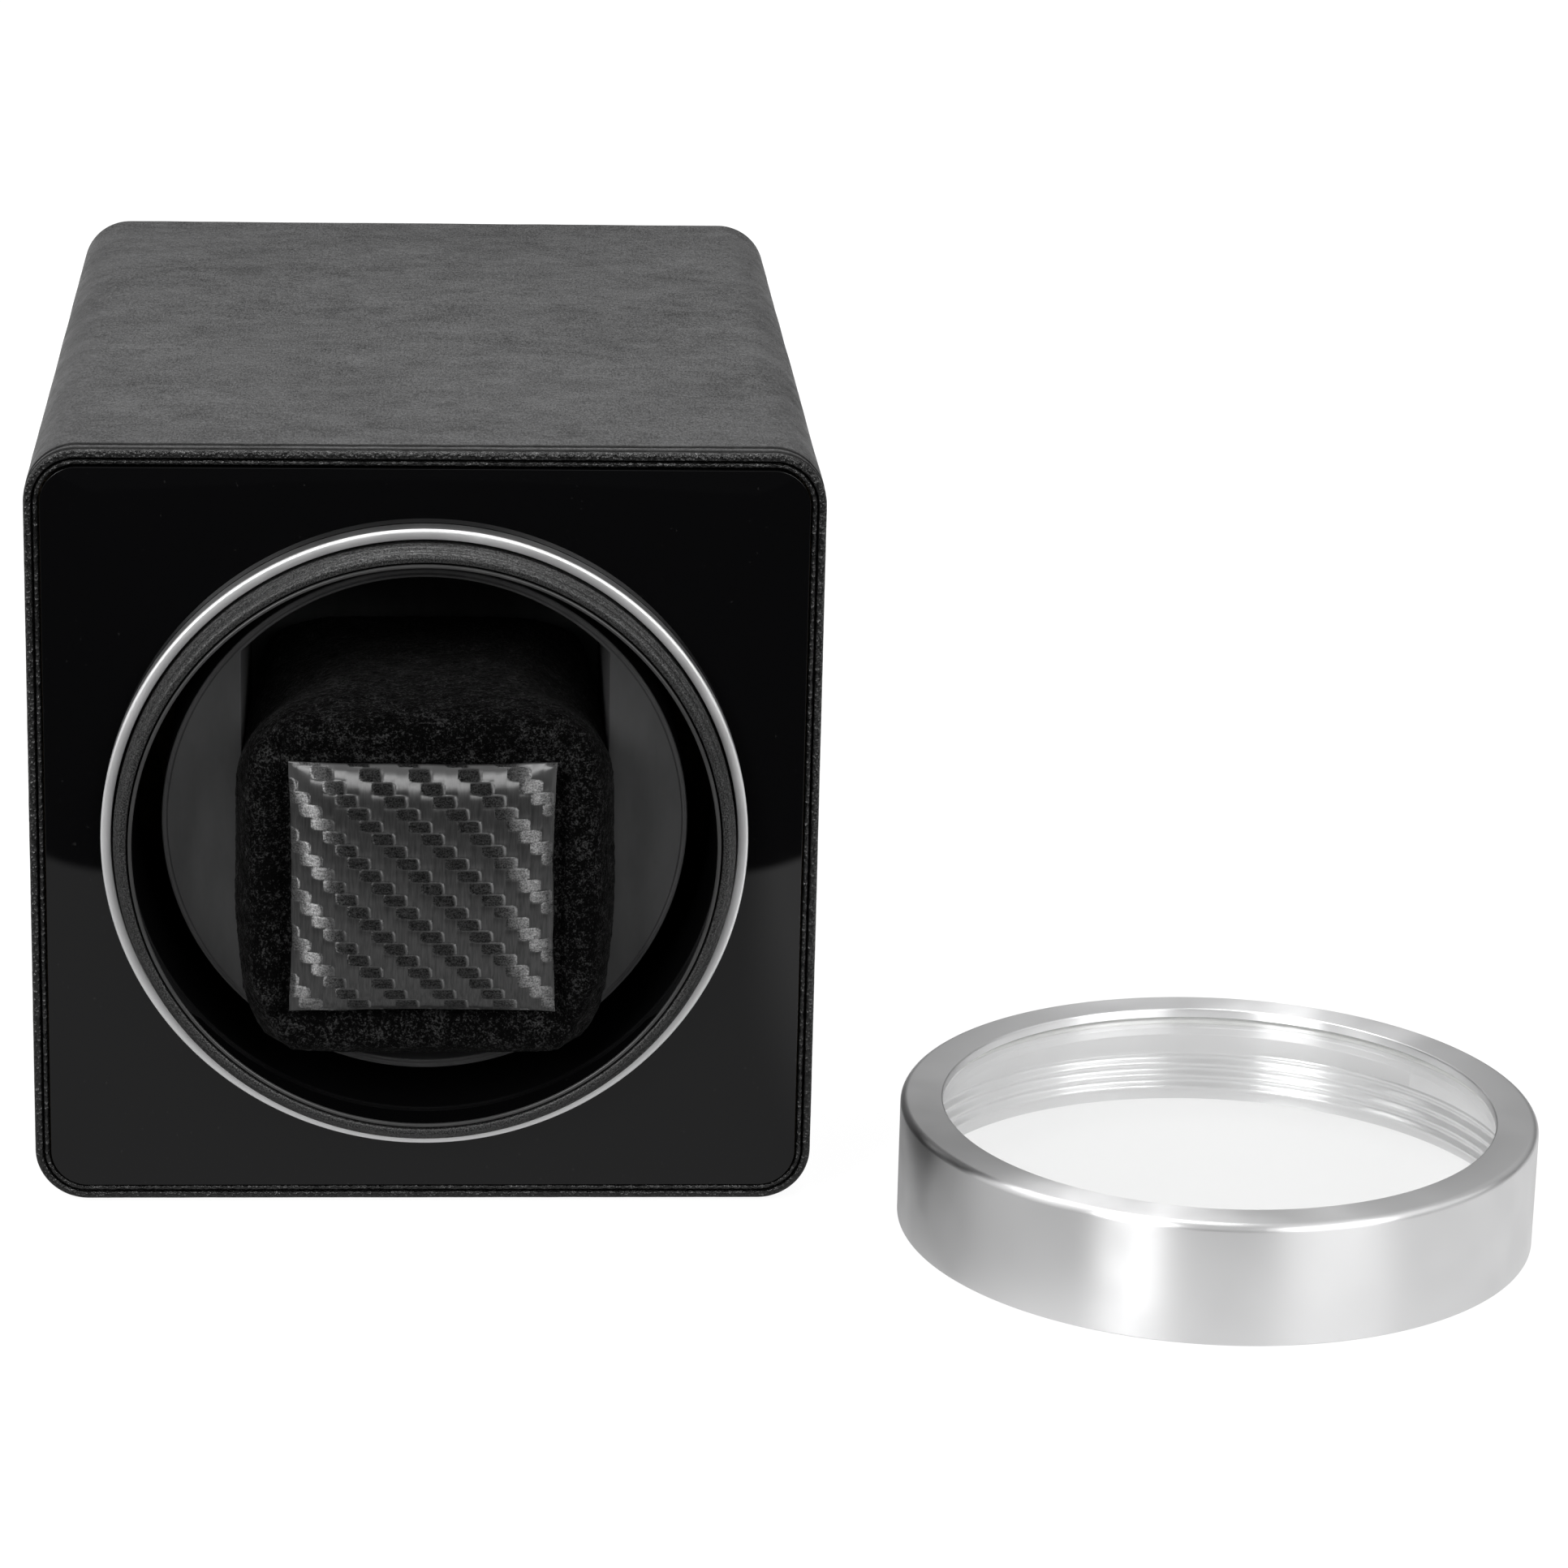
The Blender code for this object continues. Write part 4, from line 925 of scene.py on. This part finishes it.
def make_floor():
    """Table top that glows plain white to the camera; reflections and bounced light see it dimmer.

    For them it glows with painted light: brighter to the right of the box and behind it, and dark beyond
    its near end. Seen through the window glass it glows a little dimmer, painted shade under the cap. The
    places are in metres.
    """
    size = 3000.0
    verts = [(-size, -size, -0.1), (size, -size, -0.1), (size, size, -0.1), (-size, size, -0.1)]
    obj = make_object("floor", verts, [(0, 1, 2, 3)])
    s = Surface("white_table", (0.8, 0.8, 0.8), 0.9)
    path = s.add("ShaderNodeLightPath")
    parts = s.add("ShaderNodeSeparateXYZ", {0: s.where})
    beside = s.spread(parts.outputs["X"], 0.062, 0.095, 0.42, 0.80, True)
    near_end = s.spread(parts.outputs["Y"], -0.240, -0.234, 0.0, 1.0, True)
    behind = s.spread(parts.outputs["Y"], -0.07, 0.05, 0.0, 1.0, True)
    # painted light: glow for reflections and bounced light, brighter right of the box and behind it, dark
    # beyond its near end
    lit = s.math("MULTIPLY", s.math("MAXIMUM", beside, s.math("MULTIPLY", behind, 0.8)), near_end)
    indirect = s.add("ShaderNodeEmission", {"Color": (1, 1, 1, 1), "Strength": lit})
    through = path.outputs["Is Transmission Ray"]
    # painted shade: seen through the window glass, the floor glows a little dimmer
    open_view, behind_glass = 0.93, 0.89
    dimming = s.math("MULTIPLY", through, open_view - behind_glass)
    glow = s.math("SUBTRACT", open_view, dimming)
    direct = s.add("ShaderNodeEmission", {"Color": (1, 1, 1, 1), "Strength": glow})
    white = s.add("ShaderNodeAddShader", {0: direct.outputs[0], 1: s.shader.outputs[0]})
    reflected = s.math("SUBTRACT", path.outputs["Is Glossy Ray"], through)
    share = s.math("MAXIMUM", reflected, path.outputs["Is Diffuse Ray"])
    both = s.add("ShaderNodeMixShader", {0: share, 1: white.outputs[0], 2: indirect.outputs[0]})
    s.put(s.shader, "Base Color", (0.12, 0.12, 0.12, 1.0))
    s.put(s.output, "Surface", both.outputs[0])
    obj.data.materials.append(s.material)


# name: azimuth, half width, elevation, half height, brightness; azimuth 0 is towards the viewer,
# positive to the right
SOFTBOXES = {
    "left_box": (-38.0, 11.0, 28.0, 13.0, 11.0),
    "right_box": (37.0, 20.0, 28.0, 13.0, 4.4),
    "front_fill": (0.0, 32.0, 34.0, 20.0, 0.7),
    "right_wall": (75.0, 36.0, 36.0, 22.0, 1.0),
    "overhead": (0.0, 400.0, 84.0, 20.0, 0.45),
    "left_rear": (-105.0, 45.0, 30.0, 28.0, 0.9),
    "backdrop": (180.0, 62.0, 50.0, 36.0, 0.45),
}


def make_light():
    """A dark studio with soft panels, as an environment; seen directly it is plain white."""
    world = bpy.data.worlds.new("studio")
    world.use_nodes = True
    bpy.context.scene.world = world
    tree = world.node_tree
    tree.nodes.clear()
    links = tree.links

    def add(kind, *inputs, **settings):
        node = tree.nodes.new(kind)
        for key, value in settings.items():
            setattr(node, key, value)
        for index, value in enumerate(inputs):
            if isinstance(value, bpy.types.NodeSocket):
                links.new(value, node.inputs[index])
            else:
                node.inputs[index].default_value = value
        return node.outputs[0]

    def calc(operation, *values):
        return add("ShaderNodeMath", *values, operation=operation)

    def window(distance, half, soft):
        """1 within half of the middle, falling to 0 over soft degrees."""
        return add("ShaderNodeMapRange", distance, half - soft, half + soft, 1.0, 0.0,
                   interpolation_type="SMOOTHSTEP")

    direction = tree.nodes.new("ShaderNodeTexCoord").outputs["Generated"]
    parts = tree.nodes.new("ShaderNodeSeparateXYZ")
    links.new(direction, parts.inputs[0])
    x, y, z = parts.outputs
    degree = 180 / math.pi
    azimuth = calc("MULTIPLY", calc("ARCTAN2", x, calc("MULTIPLY", y, -1.0)), degree)
    elevation = calc("MULTIPLY", calc("ARCSINE", z), degree)
    total = 0.015
    for middle, half, height, half_height, brightness in SOFTBOXES.values():
        turn = calc("SUBTRACT", azimuth, middle)
        turn = calc("ABSOLUTE", add("ShaderNodeMath", turn, -180.0, 180.0, operation="WRAP"))
        rise = calc("ABSOLUTE", calc("SUBTRACT", elevation, height))
        soft = min(half, half_height, 20.0) * 0.35
        share = calc("MULTIPLY", window(turn, half, soft), window(rise, half_height, soft))
        total = calc("ADD", calc("MULTIPLY", share, brightness), total)
    seen = tree.nodes.new("ShaderNodeLightPath").outputs["Is Camera Ray"]
    strength = calc("ADD", calc("MULTIPLY", total, calc("SUBTRACT", 1.0, seen)), seen)
    shine = add("ShaderNodeBackground", (1, 1, 1, 1), strength)
    output = tree.nodes.new("ShaderNodeOutputWorld")
    links.new(shine, output.inputs[0])


def make_key_lamp():
    """A strip light over the top, so that the leather is brighter at its front than at its back."""
    data = bpy.data.lights.new("key_softbox", "AREA")
    data.shape = "RECTANGLE"
    data.size = 0.30
    data.size_y = 0.06
    data.energy = 0.45
    lamp = bpy.data.objects.new("key_softbox", data)
    place = Vector((0.0, -0.01, 0.32))
    aim = Vector((0.0, -0.04, 0.118)) - place
    lamp.matrix_world = Matrix.Translation(place) @ aim.to_track_quat("-Z", "Y").to_matrix().to_4x4()
    lamp.visible_camera = False
    bpy.context.scene.collection.objects.link(lamp)


# ---------------------------------------------------------------- everything
def paint(material, *nodes):
    """Gives CAD nodes that keep their own shape a finished material."""
    for name in nodes:
        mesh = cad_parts[name].data
        mesh.materials.clear()
        mesh.materials.append(material)


leather = leather_material()
edge_leather = edge_leather_material()
gloss = gloss_material()
ring_wall = metal_material("ring_wall_aluminium", 0.78, 0.34, 0.3, "Y")
satin = metal_material("satin_aluminium", 0.92, 0.50, 0.3, "Y", share=0.90)
polished = metal_material("polished_aluminium", 0.86, 0.34, 0.92, "Z")
steel = metal_material("zinc_steel", 0.58, 0.32, 0.3, "Y")
blasted = blasted_material()
moulding = moulding_material("drum_moulding", (0.062, 0.062, 0.063), 0.46)
lip_moulding = moulding_material("lip_moulding", (0.040, 0.040, 0.040), 0.32)
black_plastic = moulding_material("black_moulding", (0.022, 0.022, 0.023), 0.42)
velvet = velvet_material()
twill = twill_material()
glass = glass_material()
rubber = rubber_material()
silicone = silicone_material()
board = fibreboard_material()
circuit = circuit_material()
brass_surface = Surface("turned_brass", (0.62, 0.46, 0.22), 0.3, 1.0)
brass = brass_surface.use(Normal=brass_surface.bump(brass_surface.noise(0.2), 0.01))

make_camera()
make_floor()
make_light()
make_key_lamp()
make_leather_wrap(leather, edge_leather)
make_welt(edge_leather)
make_panel(gloss)
make_flange(ring_wall, satin)
make_collar(blasted)
make_liner(gloss, lip_moulding)
make_drum(moulding)
make_cushion(velvet)
make_patch(twill)
make_cap(polished, glass, silicone)

paint(board, "case_shell", "drive_plate")
paint(steel, "motor_gearbox", "motor_can", "motor_shaft", "drum_axle", "axle_circlip", "pulley_set_screw",
      "dc_jack_nut", "mode_switch", "mode_switch_nut", "mode_spindle",
      *[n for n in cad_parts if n.split("_screw_")[0] in ("back", "board", "drum", "motor")])
paint(brass, "bearing_bush", *[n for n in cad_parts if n.startswith("board_standoff_")])
paint(black_plastic, "back_panel", "motor_pulley", "drum_pulley", "drum_back", "dc_jack", "mode_knob",
      "rocker_bezel")
paint(gloss, "power_rocker")
paint(rubber, "base_pad", "drive_belt")
paint(circuit, "circuit_board")

bpy.context.scene.view_settings.view_transform = "Standard"
